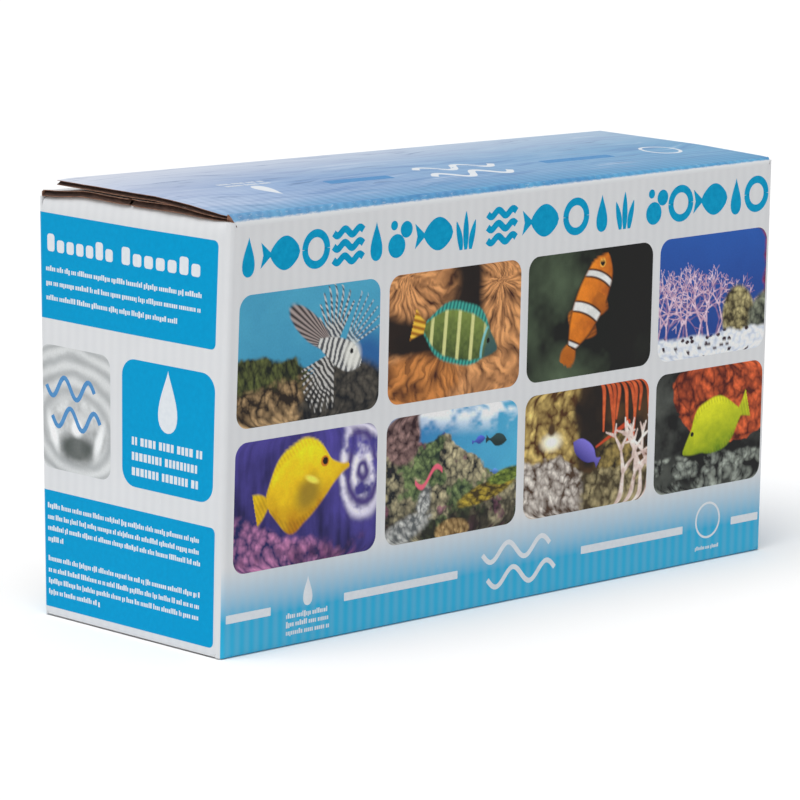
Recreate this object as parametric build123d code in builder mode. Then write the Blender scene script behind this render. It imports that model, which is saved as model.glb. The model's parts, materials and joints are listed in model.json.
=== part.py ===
"""A boxed inline reverse osmosis unit: a printed corrugated carton with opening top flaps, and inside it the
unit itself (two inline cartridges clipped under a membrane housing), its tap valve, wrench and leaflet.

Frame: origin at the middle of the carton's base, +X along the long front face, +Y towards the back, +Z up.
"""
import os

from build123d import *

# Carton, outside sizes at its base, and how far the top of its back wall leans out
LENGTH = 400.0
DEPTH = 131.0
HEIGHT = 215.0
BOARD = 2.8
BACK_LEAN = 7.0

# Top flaps
OUTER_REACH_LEFT = 123.0
OUTER_REACH_RIGHT = 126.0
LIFT_LEFT = 7.0
LIFT_RIGHT = 1.5
BACK_FLAP_REACH = 68.0
INNER_LAYER_GAP = 3.0
DUST_REACH = 62.5
DUST_TAPER = 29.0
DUST_SIDE_GAP = 0.8
FLAP_END_GAP = 0.3

# Bottom flaps and the glued corner seam
BOTTOM_SEAM_Y = 6.0
BOTTOM_SEAM_GAP = 1.2
BOTTOM_DUST_REACH = 62.0
GLUE_TAB_WIDTH = 35.0
GLUE_TAB_MARGIN = 4.0

# Quarter-inch push-fit fittings
TUBE_R = 3.175
TUBE_BORE_R = 2.15
JUMPER_END_GAP = 0.2
SOCKET_R = 3.23
THREAD_R = 6.3
PORT_R = 6.35
PORT_DEPTH = 9.0
STEM_LENGTH = 8.0
STEM_BORE_R = 2.6
ARM_BORE_R = 2.2
HEX_FLATS = 15.0
HEX_HEIGHT = 4.0
ELBOW_RISE = 12.0
ELBOW_R = 7.0
ELBOW_TOP = 19.1
ELBOW_ARM = 20.0
ELBOW_ARM_R = 6.6
MOUTH_R = 7.6
MOUTH_LENGTH = 7.0
SOCKET_START = 5.0
SEAL_START = 9.5
COLLET_START = 12.0
COLLET_CAVITY_R = 4.68
COLLET_SLEEVE_R = 4.6
COLLET_FLANGE_R = 6.2
COLLET_FLANGE = 1.5
COLLET_STANDOFF = 1.4
COLLET_SLEEVE_DEPTH = 6.2
SEAL_GROOVE_R = 4.95
SEAL_R = 0.85

# The fine-bored insert in the waste elbow
RESTRICTOR_LENGTH = 12.0
RESTRICTOR_R = 2.5
RESTRICTOR_BORE_R = 0.5

# Inline cartridges. A dome's points are (distance past the port's face, radius)
CARTRIDGE_R = 25.5
CARTRIDGE_WALL = 2.3
CARTRIDGE_LEFT = -121.0
CARTRIDGE_RIGHT = 133.0
CARTRIDGE_Y = 29.0
CARTRIDGE_CAP = 14.0
CARTRIDGE_SPIGOT = 6.0
CARTRIDGE_SPIGOT_WALL = 2.0
CARTRIDGE_NOSE_R = 10.0
CARTRIDGE_NOSE_EDGE = 0.8
CARTRIDGE_DOME = [(4.5, 10.0), (5.5, 15.0), (7.5, 20.0), (10.5, 24.0)]
CARTRIDGE_DOME_END = 13.0
CARTRIDGE_CAP_WELL = 11.5
CARTRIDGE_CAP_WELL_R = 12.0
FIBRE_CORE_R = 20.5
FIBRE_BORE_R = 7.0
FIBRE_END_GAP = 1.0
CARBON_PAD = 4.0
CARBON_PLAY = 0.1

# Clips
CLIP_THICKNESS = 2.5
CLIP_WIDTH = 12.0
CLIP_PLAY = 0.1
CLIP_WEB = 15.0
CLIP_WEB_ROOT = 2.0
CLIP_MOUTH = 46.0
CLIP_FAR_MOUTH = 39.1
CLIP_SPACING = 14.0
STACKING_CLIPS_X = (-80.0, 82.0)
PAIRING_CLIPS_X = (-40.0, 56.0)
STACK_GAP = 61.5

# Membrane housing
HOUSING_R = 30.0
HOUSING_BORE_R = 25.5
HOUSING_NECK_R = 32.0
HOUSING_EDGE = 0.8
HOUSING_DOME = [(2, 0), (8, 2), (11, 6), (12, 9)]
NECK_THREAD = 1.0
NECK_THREAD_PITCH = 3.5
NECK_COLLAR = 2.5
NECK_COLLAR_WIDTH = 4.0
NECK_TAPER_END = 9.0
RIB_COUNT = 8
RIB_START = 30.0
RIB_RUN_IN = 6.0
RIB_HEIGHT = 1.4
RIB_HALF_THICKNESS = 1.2
PORT_BOSS_R = 9.5
PORT_BOSS_START = 10.0
PORT_HOLE_R = 2.5
CORE_SOCKET_LEFT = 118.0
CORE_SOCKET_WALL = 3.5
CORE_SOCKET_PLAY = 0.15
CAP_FACE = -170.0
CAP_BOSS = 2.0
CAP_LENGTH = 36.0
CAP_R = 37.0
CAP_BORE_R = 33.1
CAP_WALL = 6.0
CAP_BOSS_R = 10.0
CAP_EDGE = 2.5
CAP_PLUG_LENGTH = 12.0
CAP_PLUG_PLAY = 0.08
CAP_PLUG_BORE_R = 20.0
CAP_PLUG_FLOOR = 3.0
CAP_SEAL_PLACE = 7.0
CAP_SEAL_R = 1.12
CAP_GROOVE_HALF_WIDTH = 1.3
CAP_GROOVE_DEPTH = 2.3
CAP_GRIP_COUNT = 16
CAP_GRIP = (2.6, 4.0)
CAP_GRIP_END_GAP = 3.5
HOUSING_END = 158.0
HOUSING_FLOOR = 134.0
CONCENTRATE_DROP = 18.0
CORE_R = 8.5
CORE_BORE_R = 5.5
CORE_LEFT = -150.0
CORE_RIGHT = 144.0
CORE_EDGE = 1.0
CORE_GROOVE_R = 7.0
CORE_SEAL_R = 0.8
CORE_SEAL_X = (124.0, 130.0)
ELEMENT_R = 22.9
ELEMENT_LEFT = -143.0
ELEMENT_RIGHT = 111.0
BRINE_SEAL_START = 4.0
BRINE_SEAL_BAND = (4.0, 1.2)
BRINE_SEAL_LIP = (8.0, 9.2)
BRINE_SEAL_ROOT = 5.5
SLIP = 0.02

# Tap valve, lying on the carton floor with its coupling nut facing the back
TAP_X = 176.0
NUT_R = 16.5
NUT_MOUTH_Y = -4.0
NUT_LENGTH = 16.0
NUT_BORE_R = 12.1
NUT_LIP = 11.0
NUT_LIP_R = 10.0
NUT_EDGE = 1.5
NUT_GRIP_COUNT = 24
NUT_GRIP_R = 0.9
WASHER_PLACE = 6.0
WASHER_THICKNESS = 2.0
WASHER_R = 11.8
WASHER_BORE_R = 5.5
VALVE_BALL_Y = -32.0
VALVE_MOUTH_Y = -57.0
VALVE_BALL_R = 7.0
VALVE_BALL_PLAY = 0.06
VALVE_NECK_R = 9.9
VALVE_NECK = (10.8, 18.0)
VALVE_SHOULDER = [(18.2, 10.6), (19.5, 11.2)]
VALVE_BODY_R = 11.2
VALVE_BODY_END = 36.0
VALVE_MOUTH_START = 38.5
VALVE_BORE_R = 3.0
VALVE_BONNET_R = 5.2
VALVE_BONNET_HEIGHT = 13.5
VALVE_STEM_R = 2.5
VALVE_STEM_HEIGHT = 17.0
LEVER_REACH = 18.0
LEVER_Z = 13.8
LEVER_THICKNESS = 3.6
LEVER_WIDTH = 7.0
LEVER_HUB_R = 5.6
LEVER_EDGE = 0.8

# Wrench and leaflet
WRENCH_X = -140.0
WRENCH_R = 46.0
WRENCH_THICKNESS = 4.0
WRENCH_HANDLE = 105.0
WRENCH_HANDLE_WIDTH = 20.0
WRENCH_HANDLE_ROOT = 6.0
WRENCH_TEETH_BORE_R = 37.6
WRENCH_SLOT_R = 38.2
WRENCH_SLOT = (3.6, 4.6)
WRENCH_HANG_HOLE_R = 4.0
LEAFLET_LENGTH = 210.0
LEAFLET_HEIGHT = 148.0
LEAFLET_THICKNESS = 1.0
WALL_CLEARANCE = 0.4

# Worked out from the sizes above
HALF_LENGTH = LENGTH / 2
HALF_DEPTH = DEPTH / 2
INSIDE_X = HALF_LENGTH - BOARD
INSIDE_Y = HALF_DEPTH - BOARD
BACK_TOP = HALF_DEPTH + BACK_LEAN
FLOOR_Z = 2 * BOARD
OUTER_Z = HEIGHT - BOARD
INNER_Z = HEIGHT - 2 * BOARD
DUST_Z = HEIGHT - 3 * BOARD
CARTRIDGE_Z = FLOOR_Z + CARTRIDGE_R + CLIP_PLAY + CLIP_THICKNESS
HOUSING_Z = CARTRIDGE_Z + (STACK_GAP**2 - CARTRIDGE_Y**2) ** 0.5
TAP_Z = FLOOR_Z + NUT_R + 0.1

RIGHT = Vector(1, 0, 0)
LEFT = Vector(-1, 0, 0)
FRONT = Vector(0, -1, 0)
BACK = Vector(0, 1, 0)
UP = Vector(0, 0, 1)
DOWN = Vector(0, 0, -1)

os.makedirs("parts", exist_ok=True)


def save(piece, name):
    """Label a finished piece and write it as its own STEP file."""
    piece.part.label = name
    export_step(piece.part, f"parts/{name}.step")


def board(name, low, high):
    """A flat rectangular panel of board between two corners."""
    middle = ((low[0] + high[0]) / 2, (low[1] + high[1]) / 2)
    with BuildPart() as panel:
        with BuildSketch(Plane.XY.offset(low[2])):
            with Locations(middle):
                Rectangle(high[0] - low[0], high[1] - low[1])
        extrude(amount=high[2] - low[2])
    save(panel, name)


def section_plane(start, direction):
    """A plane whose local x runs along the direction and whose local y is the radius.

    The radius leans away from the axes, which keeps the seams of crossing round bodies apart.
    """
    across = Vector(0.4, 0.3, 1) if abs(direction.Z) < 0.5 else Vector(1, 0.3, 0)
    return Plane(origin=start, x_dir=direction, z_dir=direction.cross(across))


def turn(start, direction, outline, mode=Mode.ADD):
    """Revolve an outline of (along, radius) points about the direction, inside the open part."""
    with BuildSketch(section_plane(start, direction)) as section:
        with BuildLine():
            Polyline(*outline, close=True)
        make_face()
    revolve(section.sketch.faces(), axis=Axis(start, direction), mode=mode)


def turned(name, start, direction, outline):
    """A piece that is one revolved outline."""
    with BuildPart() as piece:
        turn(start, direction, outline)
    save(piece, name)


def ridges(first, last, low_r, high_r, pitch):
    """Outline points of round thread ridges between two places along an axis."""
    points = []
    for index in range(int((last - first) / pitch)):
        start = first + index * pitch
        points.append((start, low_r))
        points.append((start + pitch * 0.3, high_r))
        points.append((start + pitch * 0.6, high_r))
        points.append((start + pitch * 0.9, low_r))
    return points


def ring(start, direction, middle_r, section_r):
    """A rubber ring: a round section swept about the direction, inside the open part."""
    with BuildSketch(section_plane(start, direction)) as section:
        with Locations((0, middle_r)):
            Circle(section_r)
    revolve(section.sketch.faces(), axis=Axis(start, direction))


# Carton body: one creased blank, given as the panels between its creases


def upright(name, outline, start, width):
    """An upright panel: its (y, z) outline, extruded along X from a start."""
    with BuildPart() as panel:
        with BuildSketch(Plane.YZ.offset(start)):
            with BuildLine():
                Polyline(*outline, close=True)
            make_face()
        extrude(amount=width)
    save(panel, name)


def back_y(height, depth_in=0.0):
    """Where the leaning back wall is at a height, or a depth inside it."""
    return HALF_DEPTH - depth_in + BACK_LEAN * (height - BOARD) / (INNER_Z - BOARD)


def carton_body():
    board("front_panel", (-HALF_LENGTH, -HALF_DEPTH, BOARD), (HALF_LENGTH, -INSIDE_Y, OUTER_Z))
    back_wall = [
        (back_y(BOARD, BOARD), BOARD),
        (back_y(BOARD), BOARD),
        (back_y(INNER_Z), INNER_Z),
        (back_y(INNER_Z, BOARD), INNER_Z),
    ]
    upright("back_panel", back_wall, -HALF_LENGTH, LENGTH)
    end_wall = [
        (-INSIDE_Y, BOARD),
        (back_y(BOARD, BOARD), BOARD),
        (back_y(INNER_Z, BOARD), INNER_Z),
        (-INSIDE_Y, INNER_Z),
    ]
    upright("left_end_panel", end_wall, -HALF_LENGTH, BOARD)
    upright("right_end_panel", end_wall, INSIDE_X, BOARD)
    tab_low = FLOOR_Z + GLUE_TAB_MARGIN
    tab_high = DUST_Z - GLUE_TAB_MARGIN
    tab = [
        (back_y(tab_low, 2 * BOARD), tab_low),
        (back_y(tab_low, BOARD), tab_low),
        (back_y(tab_high, BOARD), tab_high),
        (back_y(tab_high, 2 * BOARD), tab_high),
    ]
    upright("glue_tab", tab, INSIDE_X - GLUE_TAB_WIDTH, GLUE_TAB_WIDTH)
    seam_front = BOTTOM_SEAM_Y - BOTTOM_SEAM_GAP / 2
    seam_back = BOTTOM_SEAM_Y + BOTTOM_SEAM_GAP / 2
    board("bottom_front_flap", (-HALF_LENGTH, -HALF_DEPTH, 0), (HALF_LENGTH, seam_front, BOARD))
    board("bottom_back_flap", (-HALF_LENGTH, seam_back, 0), (HALF_LENGTH, HALF_DEPTH, BOARD))
    dust_end = INSIDE_X - BOTTOM_DUST_REACH
    board("bottom_left_dust_flap", (-INSIDE_X, -INSIDE_Y, BOARD), (-dust_end, INSIDE_Y, FLOOR_Z))
    board("bottom_right_dust_flap", (dust_end, -INSIDE_Y, BOARD), (INSIDE_X, INSIDE_Y, FLOOR_Z))


# Top flaps


def outer_flap():
    """The printed flap over the whole top, warped so that its free edge stands up, most at the left."""
    left_end = (-HALF_LENGTH, OUTER_REACH_LEFT, LIFT_LEFT)
    right_end = (HALF_LENGTH, OUTER_REACH_RIGHT, LIFT_RIGHT)
    with BuildPart() as flap:
        for side, reach, lift in (left_end, right_end):
            free_edge = reach - HALF_DEPTH
            with BuildSketch(Plane(origin=(side, 0, 0), x_dir=(0, 1, 0), z_dir=(1, 0, 0))):
                with BuildLine():
                    Polyline(
                        (-HALF_DEPTH, OUTER_Z),
                        (free_edge, OUTER_Z + lift),
                        (free_edge, HEIGHT + lift),
                        (-HALF_DEPTH, HEIGHT),
                        close=True,
                    )
                make_face()
        loft(ruled=True)
    save(flap, "top_outer_flap")


def half_flaps():
    board(
        "top_front_inner_layer",
        (-HALF_LENGTH + FLAP_END_GAP, -INSIDE_Y, INNER_Z),
        (HALF_LENGTH - FLAP_END_GAP, -INNER_LAYER_GAP, OUTER_Z),
    )
    board(
        "top_back_flap",
        (-HALF_LENGTH + FLAP_END_GAP, BACK_TOP - BACK_FLAP_REACH, INNER_Z),
        (HALF_LENGTH - FLAP_END_GAP, BACK_TOP, OUTER_Z),
    )


def dust_flap(name, side):
    """A tapered end flap under the others, hinged at the top of an end panel."""
    root_y = INSIDE_Y - DUST_SIDE_GAP
    with BuildPart() as flap:
        with BuildSketch(Plane.XY.offset(DUST_Z)):
            with BuildLine():
                Polyline(
                    (side * INSIDE_X, -root_y),
                    (side * (INSIDE_X - DUST_REACH), DUST_TAPER - root_y),
                    (side * (INSIDE_X - DUST_REACH), root_y - DUST_TAPER),
                    (side * INSIDE_X, root_y),
                    close=True,
                )
            make_face()
        extrude(amount=BOARD)
        fillet(flap.edges().filter_by(Axis.Z).group_by(Axis.X)[0 if side > 0 else -1], radius=8)
    save(flap, name)


# Push-fit fittings


def fitting_socket(start, direction):
    """Cut the bores of a push-fit mouth: start is the middle of the elbow, direction is its arm's."""
    turn(
        start,
        direction,
        [
            (0, 0),
            (0, ARM_BORE_R),
            (SOCKET_START, ARM_BORE_R),
            (SOCKET_START, SOCKET_R),
            (SEAL_START, SOCKET_R),
            (SEAL_START, SEAL_GROOVE_R),
            (COLLET_START, SEAL_GROOVE_R),
            (COLLET_START, COLLET_CAVITY_R),
            (ELBOW_ARM + 1, COLLET_CAVITY_R),
            (ELBOW_ARM + 1, 0),
        ],
        mode=Mode.SUBTRACT,
    )


def elbow(name, port, outward, arm):
    """A threaded push-fit elbow: its stem screws into the port and its arm points along arm."""
    centre = port + outward * ELBOW_RISE
    stem = ridges(-STEM_LENGTH + 0.6, -0.5, THREAD_R - 0.55, THREAD_R, 1.34)
    with BuildPart() as body:
        turn(
            port,
            outward,
            [(-STEM_LENGTH, 0), (-STEM_LENGTH, THREAD_R - 0.9)]
            + stem
            + [
                (0, THREAD_R - 0.55),
                (0, ELBOW_R),
                (ELBOW_TOP - 1.2, ELBOW_R),
                (ELBOW_TOP, ELBOW_R - 1.2),
                (ELBOW_TOP, 0),
            ],
        )
        with BuildSketch(Plane(origin=port, z_dir=outward, x_dir=arm)):
            RegularPolygon(HEX_FLATS / 2, 6, major_radius=False)
        extrude(amount=HEX_HEIGHT)
        turn(
            centre,
            arm,
            [
                (0, 0),
                (0, ELBOW_ARM_R),
                (ELBOW_ARM - MOUTH_LENGTH - 1, ELBOW_ARM_R),
                (ELBOW_ARM - MOUTH_LENGTH, MOUTH_R),
                (ELBOW_ARM - 0.6, MOUTH_R),
                (ELBOW_ARM, MOUTH_R - 0.6),
                (ELBOW_ARM, 0),
            ],
        )
        stem_end = -STEM_LENGTH - 1
        bore_end = ELBOW_RISE + STEM_BORE_R
        turn(
            port,
            outward,
            [(stem_end, 0), (stem_end, STEM_BORE_R), (bore_end, STEM_BORE_R), (bore_end, 0)],
            mode=Mode.SUBTRACT,
        )
        fitting_socket(centre, arm)
    save(body, name)
    return centre


def collet(name, centre, arm):
    """The ring that grips the tube, and lets go of it when it is pressed in."""
    flange = ELBOW_ARM + COLLET_STANDOFF
    turned(
        name,
        centre,
        arm,
        [
            (ELBOW_ARM - COLLET_SLEEVE_DEPTH, SOCKET_R),
            (ELBOW_ARM - COLLET_SLEEVE_DEPTH, COLLET_SLEEVE_R),
            (flange, COLLET_SLEEVE_R),
            (flange, COLLET_FLANGE_R),
            (flange + COLLET_FLANGE - 0.4, COLLET_FLANGE_R),
            (flange + COLLET_FLANGE, COLLET_FLANGE_R - 0.4),
            (flange + COLLET_FLANGE, SOCKET_R + 0.4),
            (flange + COLLET_FLANGE - 0.4, SOCKET_R),
        ],
    )


def tube_seal(centre, arm):
    """The rubber ring round the tube, in the groove behind the collet."""
    middle = centre + arm * ((SEAL_START + COLLET_START) / 2)
    ring(middle, arm, SOCKET_R + SEAL_R, SEAL_R)


def fittings():
    """Elbows on every port, each with its own collet, and the seals inside them."""
    cartridge_front = Vector(CARTRIDGE_LEFT, -CARTRIDGE_Y, CARTRIDGE_Z)
    cartridge_back = Vector(CARTRIDGE_LEFT, CARTRIDGE_Y, CARTRIDGE_Z)
    far_front = Vector(CARTRIDGE_RIGHT, -CARTRIDGE_Y, CARTRIDGE_Z)
    far_back = Vector(CARTRIDGE_RIGHT, CARTRIDGE_Y, CARTRIDGE_Z)
    cap_port = Vector(CAP_FACE - CAP_BOSS, 0, HOUSING_Z)
    permeate_port = Vector(HOUSING_END, 0, HOUSING_Z)
    concentrate_port = Vector(HOUSING_END, 0, HOUSING_Z - CONCENTRATE_DROP)
    ports = (
        ("sediment_inlet", cartridge_front, LEFT, FRONT),
        ("sediment_outlet", far_front, RIGHT, BACK),
        ("carbon_inlet", far_back, RIGHT, FRONT),
        ("carbon_outlet", cartridge_back, LEFT, BACK),
        ("permeate", permeate_port, RIGHT, UP),
        ("concentrate", concentrate_port, RIGHT, DOWN),
    )
    sealed = []
    for label, port, outward, arm in ports:
        centre = elbow(f"{label}_elbow", port, outward, arm)
        collet(f"{label}_collet", centre, arm)
        sealed.append((centre, arm))
    with BuildPart() as seals:
        for centre, arm in sealed:
            tube_seal(centre, arm)
    save(seals, "elbow_seals")

    cap_centre = elbow("cap_elbow", cap_port, LEFT, UP)
    collet("cap_collet", cap_centre, UP)
    with BuildPart() as cap_seal:
        tube_seal(cap_centre, UP)
    save(cap_seal, "cap_elbow_seal")


def jumper_tube():
    """The short straight tube that carries the water from the first cartridge to the second."""
    end_y = CARTRIDGE_Y - SOCKET_START - JUMPER_END_GAP
    start = Vector(CARTRIDGE_RIGHT + ELBOW_RISE, -end_y, CARTRIDGE_Z)
    outline = [(0, TUBE_BORE_R), (0, TUBE_R), (2 * end_y, TUBE_R), (2 * end_y, TUBE_BORE_R)]
    turned("jumper_tube", start, BACK, outline)


def flow_restrictor():
    """The fine-bored insert in the waste outlet that holds the pressure on the membrane."""
    start = Vector(HOUSING_END - STEM_LENGTH + 0.5, 0, HOUSING_Z - CONCENTRATE_DROP)
    outline = [
        (0, RESTRICTOR_BORE_R),
        (0, RESTRICTOR_R - 0.3),
        (1, RESTRICTOR_R),
        (RESTRICTOR_LENGTH, RESTRICTOR_R),
        (RESTRICTOR_LENGTH, RESTRICTOR_BORE_R),
    ]
    turned("flow_restrictor", start, RIGHT, outline)


# Inline cartridges


def cartridge(prefix, side_y):
    """A sealed round shell with a domed, ported cap at each end. The caps are one node of two solids."""
    start = Vector(CARTRIDGE_LEFT, side_y, CARTRIDGE_Z)
    end = Vector(CARTRIDGE_RIGHT, side_y, CARTRIDGE_Z)
    length = CARTRIDGE_RIGHT - CARTRIDGE_LEFT
    bore = CARTRIDGE_R - CARTRIDGE_WALL
    first = CARTRIDGE_CAP
    last = length - CARTRIDGE_CAP
    tube = [(first, bore), (first, CARTRIDGE_R), (last, CARTRIDGE_R), (last, bore)]
    turned(f"{prefix}_shell", start, RIGHT, tube)
    outside = [
        (0, PORT_R),
        (0, CARTRIDGE_NOSE_R - CARTRIDGE_NOSE_EDGE),
        (CARTRIDGE_NOSE_EDGE, CARTRIDGE_NOSE_R),
        *CARTRIDGE_DOME,
        (CARTRIDGE_DOME_END, CARTRIDGE_R),
        (CARTRIDGE_CAP, CARTRIDGE_R),
    ]
    spigot = [
        (CARTRIDGE_CAP, bore),
        (CARTRIDGE_CAP + CARTRIDGE_SPIGOT, bore),
        (CARTRIDGE_CAP + CARTRIDGE_SPIGOT, bore - CARTRIDGE_SPIGOT_WALL),
        (CARTRIDGE_CAP, bore - CARTRIDGE_SPIGOT_WALL),
    ]
    inside = [
        (CARTRIDGE_CAP_WELL, CARTRIDGE_CAP_WELL_R),
        (CARTRIDGE_CAP_WELL, STEM_BORE_R),
        (PORT_DEPTH, STEM_BORE_R),
        (PORT_DEPTH, PORT_R),
    ]
    with BuildPart() as caps:
        turn(start, RIGHT, outside + spigot + inside)
        turn(end, LEFT, outside + spigot + inside)
    save(caps, f"{prefix}_end_caps")


def cartridge_fillings():
    """What filters: a wound fibre core in one shell, a bed of grains between two pads in the other."""
    front = Vector(CARTRIDGE_LEFT, -CARTRIDGE_Y, CARTRIDGE_Z)
    back = Vector(CARTRIDGE_LEFT, CARTRIDGE_Y, CARTRIDGE_Z)
    first = CARTRIDGE_CAP + CARTRIDGE_SPIGOT
    last = CARTRIDGE_RIGHT - CARTRIDGE_LEFT - first
    low = first + FIBRE_END_GAP
    high = last - FIBRE_END_GAP
    fibre = [(low, FIBRE_BORE_R), (low, FIBRE_CORE_R), (high, FIBRE_CORE_R), (high, FIBRE_BORE_R)]
    turned("sediment_core", front, RIGHT, fibre)
    bed_r = CARTRIDGE_R - CARTRIDGE_WALL - CARBON_PLAY
    low = first + CARBON_PAD
    high = last - CARBON_PAD
    with BuildPart() as pads:
        for pad_start, pad_end in ((first, low), (high, last)):
            turn(back, RIGHT, [(pad_start, 0), (pad_start, bed_r), (pad_end, bed_r), (pad_end, 0)])
    save(pads, "carbon_pads")
    turned("carbon_bed", back, RIGHT, [(low, 0), (low, bed_r), (high, bed_r), (high, 0)])


# Clips


def clip(x, centre_a, radius_a, centre_b, radius_b):
    """A double clip: two open rings back to back, joined by a web, inside the open part."""
    across = (centre_b - centre_a).normalized()
    plane = Plane(origin=(x - CLIP_WIDTH / 2, centre_a.Y, centre_a.Z), x_dir=across, z_dir=RIGHT)
    gap = (centre_b - centre_a).length
    inner_a = radius_a + CLIP_PLAY
    inner_b = radius_b + CLIP_PLAY
    with BuildSketch(plane) as outline:
        Circle(inner_a + CLIP_THICKNESS)
        with Locations((gap, 0)):
            Circle(inner_b + CLIP_THICKNESS)
        with Locations((gap / 2 + (inner_a - inner_b) / 2, 0)):
            Rectangle(2 * CLIP_THICKNESS + CLIP_WEB_ROOT, CLIP_WEB)
        Circle(inner_a, mode=Mode.SUBTRACT)
        with Locations((gap, 0)):
            Circle(inner_b, mode=Mode.SUBTRACT)
        with Locations((-inner_a, 0)):
            Rectangle(inner_a, CLIP_MOUTH, mode=Mode.SUBTRACT)
        with Locations((gap + inner_b, 0)):
            Rectangle(inner_b, CLIP_FAR_MOUTH, mode=Mode.SUBTRACT)
    extrude(outline.sketch, amount=CLIP_WIDTH)


def clips():
    front = Vector(0, -CARTRIDGE_Y, CARTRIDGE_Z)
    back = Vector(0, CARTRIDGE_Y, CARTRIDGE_Z)
    top = Vector(0, 0, HOUSING_Z)
    with BuildPart() as stacking:
        for x in STACKING_CLIPS_X:
            clip(x, top, HOUSING_R, front, CARTRIDGE_R)
            clip(x + CLIP_SPACING, top, HOUSING_R, back, CARTRIDGE_R)
    save(stacking, "stacking_clips")
    with BuildPart() as pairing:
        for x in PAIRING_CLIPS_X:
            clip(x, front, CARTRIDGE_R, back, CARTRIDGE_R)
    save(pairing, "pairing_clips")


# Membrane housing and what it holds


def housing_tube():
    """The tube's outline: open threaded neck at the left, domed floor and core socket at the right."""
    rim = CAP_FACE + CAP_WALL + 0.2
    neck_end = CAP_FACE + CAP_LENGTH + 2
    collar_r = HOUSING_NECK_R + NECK_COLLAR
    socket_r = CORE_R + CORE_SOCKET_PLAY
    thread = ridges(rim + 4, neck_end - 6, HOUSING_NECK_R, HOUSING_NECK_R + NECK_THREAD, NECK_THREAD_PITCH)
    neck = [
        (rim, HOUSING_BORE_R),
        (rim, HOUSING_NECK_R - HOUSING_EDGE),
        (rim + HOUSING_EDGE, HOUSING_NECK_R),
        *thread,
        (neck_end, HOUSING_NECK_R),
        (neck_end, collar_r),
        (neck_end + NECK_COLLAR_WIDTH, collar_r),
        (neck_end + NECK_TAPER_END, HOUSING_R),
    ]
    dome = [(HOUSING_FLOOR + along, HOUSING_R - inward) for along, inward in HOUSING_DOME]
    socket = [
        (HOUSING_FLOOR + 12, socket_r),
        (CORE_SOCKET_LEFT, socket_r),
        (CORE_SOCKET_LEFT, CORE_R + CORE_SOCKET_WALL),
        (HOUSING_FLOOR, CORE_R + CORE_SOCKET_WALL),
        (HOUSING_FLOOR, HOUSING_BORE_R),
    ]
    turn(Vector(0, 0, HOUSING_Z), RIGHT, neck + dome + socket)


def housing_ports():
    """Two bosses on the floor, for the clean water in the middle and the waste water below it."""
    for port_z in (HOUSING_Z, HOUSING_Z - CONCENTRATE_DROP):
        with BuildSketch(Plane.YZ.offset(HOUSING_FLOOR + PORT_BOSS_START)) as boss:
            with Locations((0, port_z)):
                Circle(PORT_BOSS_R)
        extrude(boss.sketch, amount=HOUSING_END - HOUSING_FLOOR - PORT_BOSS_START)
    through = HOUSING_END - HOUSING_FLOOR + 1
    bore = [(0, 0), (0, PORT_R), (PORT_DEPTH, PORT_R), (PORT_DEPTH, 0)]
    hole = [(0, 0), (0, PORT_HOLE_R), (through, PORT_HOLE_R), (through, 0)]
    for port_z in (HOUSING_Z, HOUSING_Z - CONCENTRATE_DROP):
        port = Vector(HOUSING_END, 0, port_z)
        turn(port, LEFT, bore, mode=Mode.SUBTRACT)
        turn(port, LEFT, hole, mode=Mode.SUBTRACT)


def housing_ribs():
    """Short ribs round the floor's end."""
    for index in range(RIB_COUNT):
        plane = Plane((0, 0, HOUSING_Z), x_dir=RIGHT, z_dir=FRONT).rotated((360 / RIB_COUNT * index, 0, 0))
        with BuildSketch(plane) as rib:
            with BuildLine():
                Polyline(
                    (HOUSING_FLOOR - RIB_START, HOUSING_R - 0.5),
                    (HOUSING_FLOOR - RIB_START + RIB_RUN_IN, HOUSING_R + RIB_HEIGHT),
                    (HOUSING_FLOOR + 1, HOUSING_R + RIB_HEIGHT),
                    (HOUSING_FLOOR + 5, HOUSING_R - 1.2),
                    close=True,
                )
            make_face()
        extrude(rib.sketch, amount=RIB_HALF_THICKNESS, both=True)


def membrane_housing():
    """The pressure tube that the membrane lies in."""
    with BuildPart() as housing:
        housing_tube()
        housing_ports()
        housing_ribs()
    save(housing, "membrane_housing")


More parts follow.
